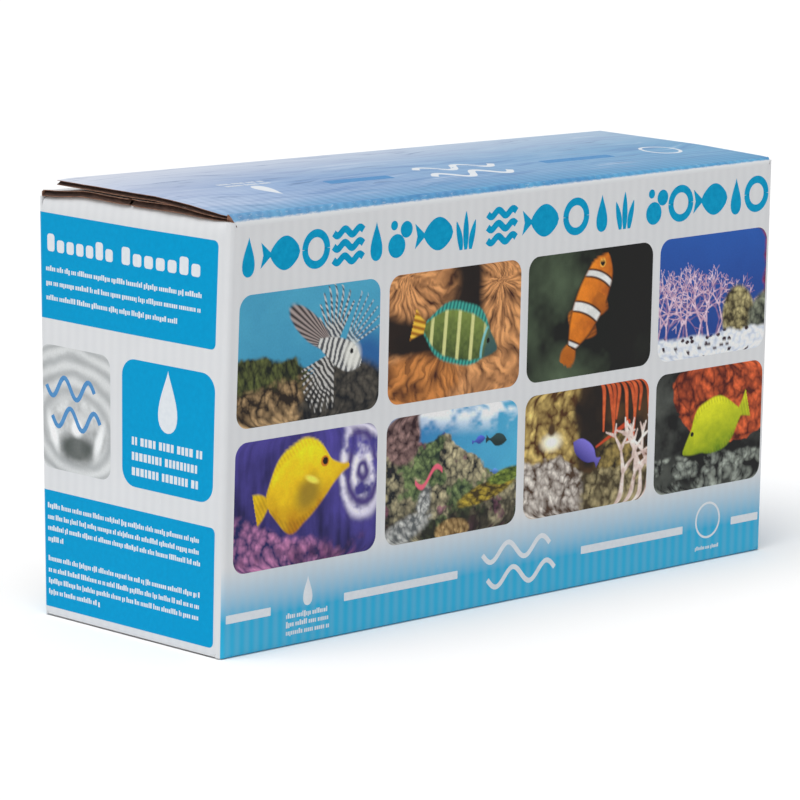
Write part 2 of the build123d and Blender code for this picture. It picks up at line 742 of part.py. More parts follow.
def housing_cap():
    """The screw cap: a ribbed skirt, a feed port in the middle and a plug that carries the seal."""
    face = Vector(CAP_FACE, 0, HOUSING_Z)
    plug_r = HOUSING_BORE_R - CAP_PLUG_PLAY
    plug_end = CAP_WALL + CAP_PLUG_LENGTH
    seal_middle = CAP_WALL + CAP_SEAL_PLACE
    groove_start = seal_middle - CAP_GROOVE_HALF_WIDTH
    groove_end = seal_middle + CAP_GROOVE_HALF_WIDTH
    skirt = [
        (-CAP_BOSS, PORT_R),
        (-CAP_BOSS, CAP_BOSS_R),
        (0, CAP_BOSS_R + 1),
        (0, CAP_R - CAP_EDGE),
        (CAP_EDGE, CAP_R),
        (CAP_LENGTH, CAP_R),
        (CAP_LENGTH, CAP_BORE_R),
        (CAP_WALL, CAP_BORE_R),
    ]
    plug = [
        (CAP_WALL, plug_r),
        (groove_start, plug_r),
        (groove_start, plug_r - CAP_GROOVE_DEPTH),
        (groove_end, plug_r - CAP_GROOVE_DEPTH),
        (groove_end, plug_r),
        (plug_end - 1, plug_r),
        (plug_end, plug_r - 1),
        (plug_end, CAP_PLUG_BORE_R),
        (CAP_WALL + CAP_PLUG_FLOOR, CAP_PLUG_BORE_R),
    ]
    port = [
        (CAP_WALL + CAP_PLUG_FLOOR, STEM_BORE_R),
        (PORT_DEPTH - CAP_BOSS, STEM_BORE_R),
        (PORT_DEPTH - CAP_BOSS, PORT_R),
    ]
    with BuildPart() as cap:
        turn(face, RIGHT, skirt + plug + port)
        grip_start = (CAP_FACE + CAP_GRIP_END_GAP, 0, HOUSING_Z)
        with BuildSketch(Plane(origin=grip_start, z_dir=RIGHT, x_dir=BACK)):
            with PolarLocations(CAP_R, CAP_GRIP_COUNT):
                Rectangle(*CAP_GRIP)
        extrude(amount=CAP_LENGTH - 2 * CAP_GRIP_END_GAP)
    save(cap, "housing_cap")
    with BuildPart() as seal:
        ring(face + RIGHT * seal_middle, RIGHT, plug_r - CAP_SEAL_R, CAP_SEAL_R)
    save(seal, "cap_seal")


def membrane():
    """The wound membrane on its core tube, with a lip seal at the feed end and rings at the outlet."""
    axis_start = Vector(0, 0, HOUSING_Z)
    core = [(CORE_LEFT, CORE_BORE_R), (CORE_LEFT, CORE_R)]
    for place in CORE_SEAL_X:
        start, end = place - 1, place + 1
        core += [(start, CORE_R), (start, CORE_GROOVE_R), (end, CORE_GROOVE_R), (end, CORE_R)]
    core += [(CORE_RIGHT - CORE_EDGE, CORE_R), (CORE_RIGHT, CORE_R - 0.8), (CORE_RIGHT, CORE_BORE_R)]
    turned("membrane_core", axis_start, RIGHT, core)
    with BuildPart() as rings:
        for place in CORE_SEAL_X:
            ring(axis_start + RIGHT * place, RIGHT, CORE_GROOVE_R + CORE_SEAL_R + SLIP, CORE_SEAL_R)
    save(rings, "core_seals")
    wound = [
        (ELEMENT_LEFT, CORE_R + SLIP),
        (ELEMENT_LEFT, ELEMENT_R),
        (ELEMENT_RIGHT, ELEMENT_R),
        (ELEMENT_RIGHT, CORE_R + SLIP),
    ]
    turned("membrane_element", axis_start, RIGHT, wound)
    start = ELEMENT_LEFT + BRINE_SEAL_START
    band_width, band_height = BRINE_SEAL_BAND
    lip_start, lip_end = BRINE_SEAL_LIP
    brine_seal = [
        (start, ELEMENT_R + SLIP),
        (start, ELEMENT_R + band_height),
        (start + band_width, ELEMENT_R + band_height),
        (start + lip_start, HOUSING_BORE_R - 0.05),
        (start + lip_end, HOUSING_BORE_R - 0.05),
        (start + BRINE_SEAL_ROOT, ELEMENT_R + SLIP),
    ]
    turned("brine_seal", axis_start, RIGHT, brine_seal)


# Tap valve


def coupling_nut(mouth):
    """The nut for the tap's thread, gripped by flutes, and the washer inside it."""
    outline = [
        (0, NUT_BORE_R),
        (0, NUT_R - 1),
        (1, NUT_R),
        (NUT_LENGTH - NUT_EDGE, NUT_R),
        (NUT_LENGTH, NUT_R - NUT_EDGE),
        (NUT_LENGTH, NUT_LIP_R),
        (NUT_LIP, NUT_LIP_R),
        (NUT_LIP, NUT_BORE_R),
    ]
    with BuildPart() as nut:
        turn(mouth, FRONT, outline)
        with BuildSketch(Plane(origin=mouth, z_dir=FRONT, x_dir=RIGHT)):
            with PolarLocations(NUT_R + 0.4, NUT_GRIP_COUNT):
                Circle(NUT_GRIP_R)
        extrude(amount=NUT_LENGTH, mode=Mode.SUBTRACT)
    save(nut, "coupling_nut")
    washer_end = WASHER_PLACE + WASHER_THICKNESS
    washer = [
        (WASHER_PLACE, WASHER_BORE_R),
        (WASHER_PLACE, WASHER_R),
        (washer_end, WASHER_R),
        (washer_end, WASHER_BORE_R),
    ]
    turned("tap_washer", mouth, FRONT, washer)


def valve_body(nut_mouth, ball_centre, socket_middle):
    """The valve's round body with its flange in the nut, a bonnet for the stem and a push-fit mouth."""
    flange = WASHER_PLACE + WASHER_THICKNESS
    neck_start, neck_end = VALVE_NECK
    mouth = NUT_MOUTH_Y - VALVE_MOUTH_Y
    ball_place = NUT_MOUTH_Y - VALVE_BALL_Y
    outline = [
        (flange, 0),
        (flange, WASHER_R),
        (neck_start, WASHER_R),
        (neck_start, VALVE_NECK_R),
        (neck_end, VALVE_NECK_R),
        *VALVE_SHOULDER,
        (VALVE_BODY_END, VALVE_BODY_R),
        (VALVE_MOUTH_START, MOUTH_R + 0.8),
        (mouth - 0.6, MOUTH_R),
        (mouth, MOUTH_R - 0.6),
        (mouth, 0),
    ]
    with BuildPart() as body:
        turn(nut_mouth, FRONT, outline)
        with BuildSketch(Plane.XY.offset(TAP_Z)):
            with Locations((TAP_X, VALVE_BALL_Y)):
                Circle(VALVE_BONNET_R)
        extrude(amount=VALVE_BONNET_HEIGHT)
        with BuildSketch(Plane.XY.offset(TAP_Z)):
            with Locations((TAP_X, VALVE_BALL_Y)):
                Circle(VALVE_STEM_R + VALVE_BALL_PLAY)
        extrude(amount=VALVE_BONNET_HEIGHT + 6.5, mode=Mode.SUBTRACT)
        with Locations(ball_centre):
            Sphere(VALVE_BALL_R + VALVE_BALL_PLAY, mode=Mode.SUBTRACT)
        bore = [(flange - 1, 0), (flange - 1, VALVE_BORE_R), (ball_place, VALVE_BORE_R), (ball_place, 0)]
        turn(nut_mouth, FRONT, bore, mode=Mode.SUBTRACT)
        fitting_socket(socket_middle, FRONT)
    save(body, "valve_body")


def valve_ball(ball_centre):
    """The bored ball and its stem in one piece."""
    reach = VALVE_BALL_R + 1
    bore = [(-reach, 0), (-reach, VALVE_BORE_R), (reach, VALVE_BORE_R), (reach, 0)]
    with BuildPart() as ball:
        with Locations(ball_centre):
            Sphere(VALVE_BALL_R)
        with BuildSketch(Plane.XY.offset(TAP_Z)):
            with Locations((TAP_X, VALVE_BALL_Y)):
                Circle(VALVE_STEM_R)
        extrude(amount=VALVE_STEM_HEIGHT)
        turn(ball_centre, FRONT, bore, mode=Mode.SUBTRACT)
    save(ball, "valve_ball")


def valve_lever():
    """The lever on the stem, along the tube while the valve is open."""
    tip_r = LEVER_WIDTH / 2
    with BuildPart() as lever:
        with BuildSketch(Plane.XY.offset(TAP_Z + LEVER_Z)):
            with Locations((TAP_X, VALVE_BALL_Y)):
                Circle(LEVER_HUB_R)
            with Locations((TAP_X, VALVE_BALL_Y - LEVER_REACH / 2 + 1)):
                Rectangle(LEVER_WIDTH, LEVER_REACH - 2)
            with Locations((TAP_X, VALVE_BALL_Y - LEVER_REACH + tip_r)):
                Circle(tip_r)
            with Locations((TAP_X, VALVE_BALL_Y)):
                Circle(VALVE_STEM_R, mode=Mode.SUBTRACT)
        extrude(amount=LEVER_THICKNESS)
        chamfer(lever.faces().sort_by(Axis.Z)[-1].outer_wire().edges(), length=LEVER_EDGE)
    save(lever, "valve_lever")


def tap_valve():
    """A small ball valve with a loose coupling nut for the tap and a push-fit mouth for the tube."""
    nut_mouth = Vector(TAP_X, NUT_MOUTH_Y, TAP_Z)
    ball_centre = Vector(TAP_X, VALVE_BALL_Y, TAP_Z)
    socket_middle = Vector(TAP_X, VALVE_MOUTH_Y + ELBOW_ARM, TAP_Z)
    coupling_nut(nut_mouth)
    valve_body(nut_mouth, ball_centre, socket_middle)
    valve_ball(ball_centre)
    valve_lever()
    collet("valve_collet", socket_middle, FRONT)


# Loose things that come with the unit


def wrench():
    """A flat ring wrench for the screw cap, standing on edge behind the unit."""
    face_y = INSIDE_Y - WALL_CLEARANCE
    root = WRENCH_R - WRENCH_HANDLE_ROOT
    tip = root + WRENCH_HANDLE
    with BuildPart() as tool:
        with BuildSketch(Plane(origin=(WRENCH_X, face_y, FLOOR_Z + WRENCH_R), x_dir=RIGHT, z_dir=FRONT)):
            Circle(WRENCH_R)
            with Locations((root + WRENCH_HANDLE / 2, 0)):
                Rectangle(WRENCH_HANDLE, WRENCH_HANDLE_WIDTH)
            with Locations((tip, 0)):
                Circle(WRENCH_HANDLE_WIDTH / 2)
            Circle(WRENCH_TEETH_BORE_R, mode=Mode.SUBTRACT)
            with PolarLocations(WRENCH_SLOT_R, CAP_GRIP_COUNT):
                Rectangle(*WRENCH_SLOT, mode=Mode.SUBTRACT)
            with Locations((tip, 0)):
                Circle(WRENCH_HANG_HOLE_R, mode=Mode.SUBTRACT)
        extrude(amount=WRENCH_THICKNESS)
    save(tool, "cap_wrench")


def leaflet():
    """The folded instructions, standing against the front wall."""
    front = WALL_CLEARANCE - INSIDE_Y
    low = (-LEAFLET_LENGTH / 2, front, FLOOR_Z)
    high = (LEAFLET_LENGTH / 2, front + LEAFLET_THICKNESS, FLOOR_Z + LEAFLET_HEIGHT)
    board("leaflet", low, high)


carton_body()
outer_flap()
half_flaps()
dust_flap("top_left_dust_flap", -1)
dust_flap("top_right_dust_flap", 1)
fittings()
jumper_tube()
flow_restrictor()
cartridge("sediment", -CARTRIDGE_Y)
cartridge("carbon", CARTRIDGE_Y)
cartridge_fillings()
clips()
membrane_housing()
housing_cap()
membrane()
tap_valve()
wrench()
leaflet()
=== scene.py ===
"""A boxed reverse osmosis unit: board, folds and print for the carton, and finishes for the unit inside it."""

import json
import math

import bmesh
import bpy
import numpy as np
from mathutils import Matrix, Vector


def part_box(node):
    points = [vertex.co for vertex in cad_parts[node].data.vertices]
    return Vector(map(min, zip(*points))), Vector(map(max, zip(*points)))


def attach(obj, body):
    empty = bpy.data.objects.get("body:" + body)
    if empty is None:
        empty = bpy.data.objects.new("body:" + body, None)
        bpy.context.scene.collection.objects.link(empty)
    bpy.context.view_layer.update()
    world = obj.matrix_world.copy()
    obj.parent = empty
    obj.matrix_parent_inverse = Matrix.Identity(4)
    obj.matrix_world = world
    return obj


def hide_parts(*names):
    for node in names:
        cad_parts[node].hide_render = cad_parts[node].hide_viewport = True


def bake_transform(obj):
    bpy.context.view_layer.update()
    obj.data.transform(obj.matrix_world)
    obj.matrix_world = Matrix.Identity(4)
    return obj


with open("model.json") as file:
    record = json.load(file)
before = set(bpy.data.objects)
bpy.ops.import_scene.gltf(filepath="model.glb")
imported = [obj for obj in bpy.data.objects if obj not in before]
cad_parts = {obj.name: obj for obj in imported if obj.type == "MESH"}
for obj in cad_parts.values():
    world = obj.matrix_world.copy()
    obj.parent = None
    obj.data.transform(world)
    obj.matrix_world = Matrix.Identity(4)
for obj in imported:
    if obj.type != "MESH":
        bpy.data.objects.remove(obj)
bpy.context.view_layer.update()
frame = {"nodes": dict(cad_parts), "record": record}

MM = 0.001

# The carton's sizes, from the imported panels
front_low, front_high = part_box("front_panel")
back_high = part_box("back_panel")[1]
layer_low, layer_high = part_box("top_front_inner_layer")
back_flap_low, back_flap_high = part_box("top_back_flap")
dust_low, dust_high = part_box("top_left_dust_flap")
BOARD = front_high.y - front_low.y
HALF_X = front_high.x
HALF_Y = -front_low.y
LEAN = back_high.y - HALF_Y
TOP = front_high.z + BOARD
INNER_TOP = back_high.z
FOLD = BOARD + 0.6 * MM


def flap_end(side):
    """The outer flap's reach from the front, and how far its free edge stands up, at one end."""
    corners = [v.co for v in frame["nodes"]["top_outer_flap"].data.vertices if v.co.x * side > HALF_X - MM]
    return max(c.y for c in corners) + HALF_Y, max(c.z for c in corners) - TOP


REACH_LEFT, LIFT_LEFT = flap_end(-1)
REACH, LIFT_RIGHT = flap_end(1)

# How the carton's top is bowed up along its left end, pressed in at its front left corner, and cut back
END_RISE = 4.6 * MM
END_BOW = 1.0 * MM
BACK_RISE = 2.7 * MM
FOLD_RISE = 2.8 * MM
CORNER_PRESS = 3.4 * MM
END_PRESS = 1.6 * MM
CORNER_DROP = 1.2 * MM
CORNER_SETBACK = 1.2 * MM
LAYER_END_SLANT = 6.0 * MM
LIFT_RUN = 50 * MM

# How far along and across the pushes reach, how far from its end a cut board is uneven, and a wall's gap at its foot
PRESS_ALONG, PRESS_ACROSS = 110 * MM, HALF_Y + 10 * MM
END_ALONG, END_ACROSS = 14 * MM, 24 * MM
END_ZONE = 9 * MM
FOOT_GAP = 0.6 * MM

# Board make-up
LINER = 0.32 * MM
MEDIUM = 0.24 * MM
PITCH = 6.4 * MM
INK = 0.03 * MM

# Mesh grids over a wall, a flap, a bottom flap and the flutes
WALL_GRID, FLAP_GRID, BOTTOM_GRID, WAVE_GRID = 6 * MM, 5 * MM, 8 * MM, PITCH / 12


# Noise in plain arrays, the same each run


def smooth_noise(x, y, seed):
    """Value noise between 0 and 1, one cell per unit."""
    table = np.random.RandomState(seed).rand(128, 128)
    xi, yi = np.floor(x).astype(int), np.floor(y).astype(int)
    fx, fy = x - xi, y - yi
    fx, fy = fx * fx * (3 - 2 * fx), fy * fy * (3 - 2 * fy)
    a = table[xi % 128, yi % 128]
    b = table[(xi + 1) % 128, yi % 128]
    c = table[xi % 128, (yi + 1) % 128]
    d = table[(xi + 1) % 128, (yi + 1) % 128]
    return (a * (1 - fx) + b * fx) * (1 - fy) + (c * (1 - fx) + d * fx) * fy


def cloud(x, y, scale, seed, octaves=4):
    """Layered noise between 0 and 1."""
    total, weight, reach = 0, 0, 0.5
    for octave in range(octaves):
        total = total + reach * smooth_noise(x * scale + 17 * octave, y * scale + 31 * octave, seed + octave)
        weight += reach
        scale, reach = scale * 2.03, reach * 0.55
    return total / weight


def ramp(value, start, end):
    """Smooth step from 0 at start to 1 at end."""
    t = np.clip((value - start) / (end - start), 0, 1)
    return t * t * (3 - 2 * t)


# Mesh building


class Shell:
    """Collects closed slabs and flat prints into one mesh."""

    def __init__(self):
        self.points, self.faces, self.slots, self.uvs, self.paint = [], [], [], [], []
        self.count = 0

    def slab(self, place, us, vs, low, high, slots=(0, 1, 1), paint=None, backed=True):
        """A slab over a grid, between two heights. slots are for its top, bottom and rim."""
        u, v = np.meshgrid(us, vs, indexing="ij")
        upper = place(u, v, high(u, v) if callable(high) else np.full(u.shape, high))
        lower = place(u, v, low(u, v) if callable(low) else np.full(u.shape, low))
        size = u.size
        index = np.arange(size).reshape(u.shape) + self.count
        under = index + size
        a, b, c, d = index[:-1, :-1], index[1:, :-1], index[1:, 1:], index[:-1, 1:]
        top = np.stack([a, b, c, d], -1).reshape(-1, 4)
        bottom = np.stack([a, d, c, b], -1).reshape(-1, 4) + size
        rim = np.concatenate([
            np.stack([under[:-1, 0], under[1:, 0], index[1:, 0], index[:-1, 0]], -1),
            np.stack([index[:-1, -1], index[1:, -1], under[1:, -1], under[:-1, -1]], -1),
            np.stack([index[0, :-1], index[0, 1:], under[0, 1:], under[0, :-1]], -1),
            np.stack([under[-1, :-1], under[-1, 1:], index[-1, 1:], index[-1, :-1]], -1),
        ])
        for quads, slot in [(top, slots[0]), (rim, slots[2])] + [(bottom, slots[1])] * backed:
            self.faces.extend(quads.tolist())
            self.slots.extend([slot] * len(quads))
        self.points.extend([upper.reshape(-1, 3), lower.reshape(-1, 3)])
        flat = np.stack([u, v], -1).reshape(-1, 2)
        self.uvs.extend([flat, flat])
        if paint is not None:
            colours = paint(u, v).reshape(-1, 3)
            self.paint.extend([colours, colours])
        self.count += 2 * size

    def plate(self, place, outline, low, high, slot=0):
        """A closed plate with a flat outline, such as one printed shape."""
        flat = np.array(outline)
        number = len(flat)
        for height in (high, low):
            self.points.append(place(flat[:, 0], flat[:, 1], np.full(number, height)))
            self.uvs.append(flat)
        first = self.count
        self.faces.append([first + i for i in range(number)])
        self.faces.append([first + number + i for i in reversed(range(number))])
        for i in range(number):
            j = (i + 1) % number
            self.faces.append([first + j, first + i, first + number + i, first + number + j])
        self.slots.extend([slot] * (number + 2))
        self.count += 2 * number

    def build(self, name, materials, crease=35):
        mesh = bpy.data.meshes.new(name)
        mesh.from_pydata(np.concatenate(self.points).tolist(), [], self.faces)
        for material in materials:
            mesh.materials.append(material)
        mesh.polygons.foreach_set("material_index", self.slots)
        mesh.polygons.foreach_set("use_smooth", [True] * len(mesh.polygons))
        corners = np.zeros(len(mesh.loops), int)
        mesh.loops.foreach_get("vertex_index", corners)
        layer = mesh.uv_layers.new(name="print_place")
        layer.data.foreach_set("uv", np.concatenate(self.uvs)[corners].ravel())
        if self.paint:
            colours = np.concatenate(self.paint)
            attribute = mesh.color_attributes.new("paint", "FLOAT_COLOR", "POINT")
            attribute.data.foreach_set("color", np.c_[colours, np.ones(len(colours))].ravel())
        work = bmesh.new()
        work.from_mesh(mesh)
        bmesh.ops.recalc_face_normals(work, faces=work.faces)
        work.to_mesh(mesh)
        work.free()
        mesh.set_sharp_from_angle(angle=math.radians(crease))
        piece = bpy.data.objects.new(name, mesh)
        bpy.context.scene.collection.objects.link(piece)
        return piece


def steps(start, end, size):
    """Even places from start to end, about size apart."""
    return np.linspace(start, end, max(2, int(round(abs(end - start) / size)) + 1))


def rounded(x0, x1, z0, z1, radius, turn=7):
    """Outline of a rectangle with round corners, counterclockwise."""
    radius = min(radius, (x1 - x0) / 2, (z1 - z0) / 2)
    points = []
    corners = ((x1 - radius, z0 + radius, -90), (x1 - radius, z1 - radius, 0),
               (x0 + radius, z1 - radius, 90), (x0 + radius, z0 + radius, 180))
    for cx, cz, first in corners:
        for index in range(turn):
            angle = math.radians(first + 90 * index / (turn - 1))
            points.append((cx + radius * math.cos(angle), cz + radius * math.sin(angle)))
    return points


# Materials


def linear(colour):
    """A display colour, 0 to 255, as linear light."""
    c = np.asarray(colour, float) / 255
    return np.where(c <= 0.04045, c / 12.92, ((c + 0.055) / 1.055) ** 2.4)


def shade(colour):
    return (*linear(colour).tolist(), 1.0)


class Finish:
    """A material with short names for the nodes that it is made of."""

    def __init__(self, name, roughness=0.5, **inputs):
        self.material = bpy.data.materials.new(name)
        self.material.use_nodes = True
        self.tree = self.material.node_tree
        self.shader = self.tree.nodes["Principled BSDF"]
        self.shader.inputs["Roughness"].default_value = roughness
        for socket, value in inputs.items():
            self.shader.inputs[socket.replace("_", " ")].default_value = value

    def node(self, kind, settings=None, **links):
        made = self.tree.nodes.new(kind)
        for key, value in (settings or {}).items():
            setattr(made, key, value)
        for socket, value in links.items():
            key = int(socket[2:]) if socket in ("in0", "in1") else socket.replace("_", " ")
            self.feed(made.inputs[key], value)
        return made

    def feed(self, target, value):
        if isinstance(value, bpy.types.NodeSocket):
            self.tree.links.new(value, target)
        else:
            target.default_value = value

    def place(self, scale=(1, 1, 1)):
        """Object coordinates in metres, stretched."""
        coordinates = self.node("ShaderNodeTexCoord").outputs["Object"]
        return self.node("ShaderNodeMapping", Vector=coordinates, Scale=scale).outputs[0]

    def print_place(self, scale=(1, 1, 1)):
        """The print's own coordinates, which travel with the board."""
        coordinates = self.node("ShaderNodeUVMap", {"uv_map": "print_place"}).outputs[0]
        return self.node("ShaderNodeMapping", Vector=coordinates, Scale=scale).outputs[0]

    def noise(self, vector, scale, detail=4, roughness=0.55):
        settings = {"Vector": vector, "Scale": scale, "Detail": detail, "Roughness": roughness}
        return self.node("ShaderNodeTexNoise", **settings).outputs["Fac"]

    def grain(self, scale, detail, distance):
        """Fine noise in the object's own space, which also roughens the surface."""
        fine = self.noise(self.place(), scale, detail)
        self.bump(fine, distance)
        return fine

    def remap(self, value, low, high, to_low=0.0, to_high=1.0):
        return self.node("ShaderNodeMapRange", Value=value, From_Min=low, From_Max=high, To_Min=to_low,
                         To_Max=to_high).outputs[0]

    def math(self, operation, a, b=0.0):
        return self.node("ShaderNodeMath", {"operation": operation}, in0=a, in1=b).outputs[0]

    def mix(self, factor, a, b, blend="MIX"):
        made = self.node("ShaderNodeMix", {"data_type": "RGBA", "blend_type": blend})
        for index, value in ((0, factor), (6, a), (7, b)):
            self.feed(made.inputs[index], value)
        return made.outputs[2]

    def tint(self, base, colour, value, start, end, most=1.0):
        """Lay a colour over base: none of it where value is at start, most of it where value is at end."""
        return self.mix(self.remap(value, start, end, 0.0, most), base, shade(colour))

    def colour(self, value):
        self.feed(self.shader.inputs["Base Color"], value)

    def rough(self, value):
        self.feed(self.shader.inputs["Roughness"], value)

    def bump(self, height, distance):
        made = self.node("ShaderNodeBump", Height=height, Distance=distance, Strength=1.0)
        self.tree.links.new(made.outputs[0], self.shader.inputs["Normal"])


def flute_lines(finish, axis):
    """Faint ridges along an axis, where the flutes show through the liner."""
    wave = finish.node("ShaderNodeTexWave", {"bands_direction": "DIAGONAL"}, Vector=finish.place(axis),
                       Scale=0.2 * math.pi / PITCH, Distortion=0.0)
    return wave.outputs["Fac"]


def coated_board(name, axis, low=0.0, high=0.0):
    """White coated liner with a slight mottle. With high, an ink fades in from high down to low along Z."""
    finish = Finish(name, roughness=0.42, Specular_IOR_Level=0.25)
    mottle = finish.noise(finish.place(), 35, 5)
    colour = finish.mix(mottle, shade((213, 215, 217)), shade((223, 224, 226)))
    if high:
        height = finish.node("ShaderNodeSeparateXYZ", Vector=finish.place()).outputs[2]
        deep = finish.tint(shade((40, 178, 220)), (24, 168, 214), height, 0.0, low * 1.2)
        colour = finish.mix(finish.math("POWER", finish.remap(height, low, high, 1.0, 0.0), 1.25), colour, deep)
    lines = flute_lines(finish, axis)
    colour = finish.mix(finish.math("MULTIPLY", lines, 0.12), colour, shade((188, 191, 196)))
    scuffs = finish.noise(finish.place((1, 1, 0.25)), 260, 3, 0.7)
    finish.colour(finish.tint(colour, (246, 246, 245), scuffs, 0.72, 0.8, 0.25))
    finish.rough(finish.remap(mottle, 0.3, 0.7, 0.38, 0.5))
    grain = finish.noise(finish.place(), 900, 2)
    height = finish.math("ADD", finish.math("MULTIPLY", lines, 0.9), finish.math("MULTIPLY", grain, 0.15))
    finish.bump(height, 0.05 * MM)
    return finish.material


def ink(name, colour, dark):
    """Printed ink: a flat colour with a fine litho mottle."""
    finish = Finish(name, roughness=0.38, Specular_IOR_Level=0.04)
    tone = finish.tint(shade(colour), dark, finish.grain(420, 3, 0.02 * MM), 0.3, 0.7)
    finish.colour(finish.tint(tone, dark, finish.noise(finish.place(), 24, 3), 0.35, 0.75, 0.35))
    return finish.material


def kraft(name, light, dark, stretch):
    """Raw brown board with fibres."""
    finish = Finish(name, roughness=0.88)
    fibres = finish.noise(finish.place(stretch), 700, 5, 0.7)
    colour = finish.tint(shade(dark), light, fibres, 0.32, 0.68)
    finish.colour(finish.tint(colour, dark, finish.noise(finish.place(), 45, 4), 0.4, 0.8, 0.5))
    finish.bump(fibres, 0.12 * MM)
    return finish.material


def picture():
    """A printed picture, whose colours are painted on its mesh."""
    finish = Finish("picture_ink", roughness=0.36, Specular_IOR_Level=0.15)
    paint = finish.node("ShaderNodeAttribute", {"attribute_name": "paint"}).outputs["Color"]
    fine = finish.remap(finish.grain(900, 2, 0.015 * MM), 0.3, 0.7, 0.0, 0.22)
    finish.colour(finish.mix(fine, paint, shade((200, 200, 200)), "MULTIPLY"))
    return finish.material


def water_print():
    """Blue rippled water, deeper at the front fold and towards the right, with a painted sheen that pales it towards
    the back and the left end.
    """
    finish = Finish("water_print", roughness=0.36, Specular_IOR_Level=0.25)
    parts = finish.node("ShaderNodeSeparateXYZ", Vector=finish.print_place())
    across, inward = parts.outputs[0], parts.outputs[1]

    def streaks(scale, bend):
        """Noise drawn out along the carton, in lines that wander."""
        wander = finish.noise(finish.print_place((7, 14, 1)), 1.0, 3)
        bent = finish.math("MULTIPLY", wander, bend)
        push = finish.node("ShaderNodeCombineXYZ", X=0.0, Y=bent, Z=0.0).outputs[0]
        moved = finish.node("ShaderNodeVectorMath", {"operation": "ADD"}, in0=finish.print_place(scale), in1=push)
        return finish.noise(moved.outputs[0], 1.0, 5, 0.6)

    ripples = streaks((16, 170, 1), 8.0)
    dashes = streaks((22, 330, 1), 14.0)
    broad = finish.noise(finish.print_place((5, 22, 1)), 1.0, 3)
    base = finish.tint(shade((142, 162, 204)), (160, 186, 222), broad, 0.3, 0.7)
    base = finish.tint(base, (92, 166, 204), across, -HALF_X, HALF_X, 0.75)
    base = finish.tint(base, (84, 128, 184), ripples, 0.5, 0.64, 0.6)
    base = finish.tint(base, (190, 208, 232), ripples, 0.42, 0.32, 0.5)
    # Painted sheen: the print is painted paler towards the back, more so at the left, and again towards the left
    # end, for the reflection the glossy top shows there.
    far = finish.math("MULTIPLY", finish.remap(inward, 64 * MM, 118 * MM),
                      finish.remap(across, -HALF_X, HALF_X, 0.72, 0.36))
    base = finish.mix(far, base, shade((226, 228, 236)))
    base = finish.tint(base, (222, 226, 236), across, -120 * MM, -196 * MM, 0.36)
    base = finish.tint(base, (84, 112, 156), dashes, 0.6, 0.66, 0.6)
    deep = finish.tint(shade((44, 132, 188)), (92, 174, 214), ripples, 0.38, 0.62)
    uneven = finish.math("ADD", inward, finish.math("MULTIPLY", broad, 18 * MM))
    base = finish.mix(finish.remap(uneven, 34 * MM, 9 * MM, 0.0, 0.8), base, deep)
    ridges = finish.math("MULTIPLY", flute_lines(finish, (1, 0, 0)),
                         finish.remap(inward, 50 * MM, 8 * MM, 0.04, 0.3))
    base = finish.mix(ridges, base, shade((58, 112, 160)))
    specks = finish.noise(finish.place((1, 3, 3)), 330, 3, 0.75)
    rub = finish.math("MULTIPLY", finish.remap(inward, 5 * MM, 2 * MM, 0.0, 0.35),
                      finish.remap(specks, 0.6, 0.66))
    base = finish.mix(rub, base, shade((225, 228, 232)))
    ragged = finish.math("ADD", inward, finish.math("MULTIPLY", specks, 1.1 * MM))
    finish.colour(finish.tint(base, (218, 220, 222), ragged, 2.4 * MM, 1.9 * MM))
    finish.grain(700, 2, 0.02 * MM)
    return finish.material


def plastic(name, colour, other, roughness, grain=420, depth=0.02, **inputs):
    """Moulded plastic: a faint cloudiness, a fine skin and uneven gloss."""
    finish = Finish(name, roughness=roughness, **inputs)
    finish.colour(finish.tint(shade(colour), other, finish.noise(finish.place(), 30, 3), 0.3, 0.7))
    fine = finish.grain(grain, 3, depth * MM)
    finish.rough(finish.remap(fine, 0.3, 0.7, roughness - 0.06, roughness + 0.08))
    return finish.material


WHITE_FRONT = coated_board("front_board", (1, 0, 0), 18 * MM, 46 * MM)
WHITE_BACK = coated_board("back_board", (1, 0, 0), 18 * MM, 46 * MM)
WHITE_END = coated_board("end_board", (0, 1, 0))
WHITE_FLAP = coated_board("flap_board", (1, 0, 0))
WATER = water_print()
KRAFT = kraft("kraft_liner", (158, 126, 98), (98, 70, 52), (1, 1, 0.35))
# The medium is kraft brown, painted much darker as painted shade for the gaps between the liners at a cut end.
SHADED_FLUTE = kraft("kraft_flute_painted_shade", (96, 68, 56), (40, 26, 22), (1, 0.3, 1))
CUT = kraft("cut_liner", (170, 124, 98), (92, 60, 48), (0.4, 0.4, 2))
CYAN = ink("cyan_ink", (10, 160, 204), (0, 144, 190))
BLUE = ink("blue_ink", (0, 156, 208), (0, 148, 200))
WHITE_INK = ink("white_ink", (226, 230, 234), (216, 222, 228))
PALE_BLUE = ink("pale_blue_ink", (92, 150, 200), (76, 134, 188))
PICTURE = picture()


# The carton's walls


def leaned(points):
    """Shift points towards the back with height, as the back wall leans out. The front wall stays upright."""
    share = np.clip((points[..., 1] + HALF_Y) / (2 * HALF_Y), 0, 1)
    points[..., 1] += LEAN * share * np.clip((points[..., 2] - BOARD) / (INNER_TOP - BOARD), 0, 1)
    return pressed(points)


def pressed(points, extra=0.0):
    """Push the carton's top front left corner in towards the right, less and less away from the corner."""
    height = np.clip(points[..., 2] / TOP, 0, 1) ** 2
    x, y = points[..., 0] + HALF_X, points[..., 1] + HALF_Y
    near = ramp(x, PRESS_ALONG, 0) * ramp(y, PRESS_ACROSS, 0)
    at_end = ramp(x, END_ALONG, 0) * ramp(y, END_ACROSS, 0)
    points[..., 0] += CORNER_PRESS * near * height + extra * at_end
    return points


def leftness(x):
    """1 at the carton's left end, 0 at its right end."""
    return np.clip(0.5 - 0.5 * x / HALF_X, 0, 1)


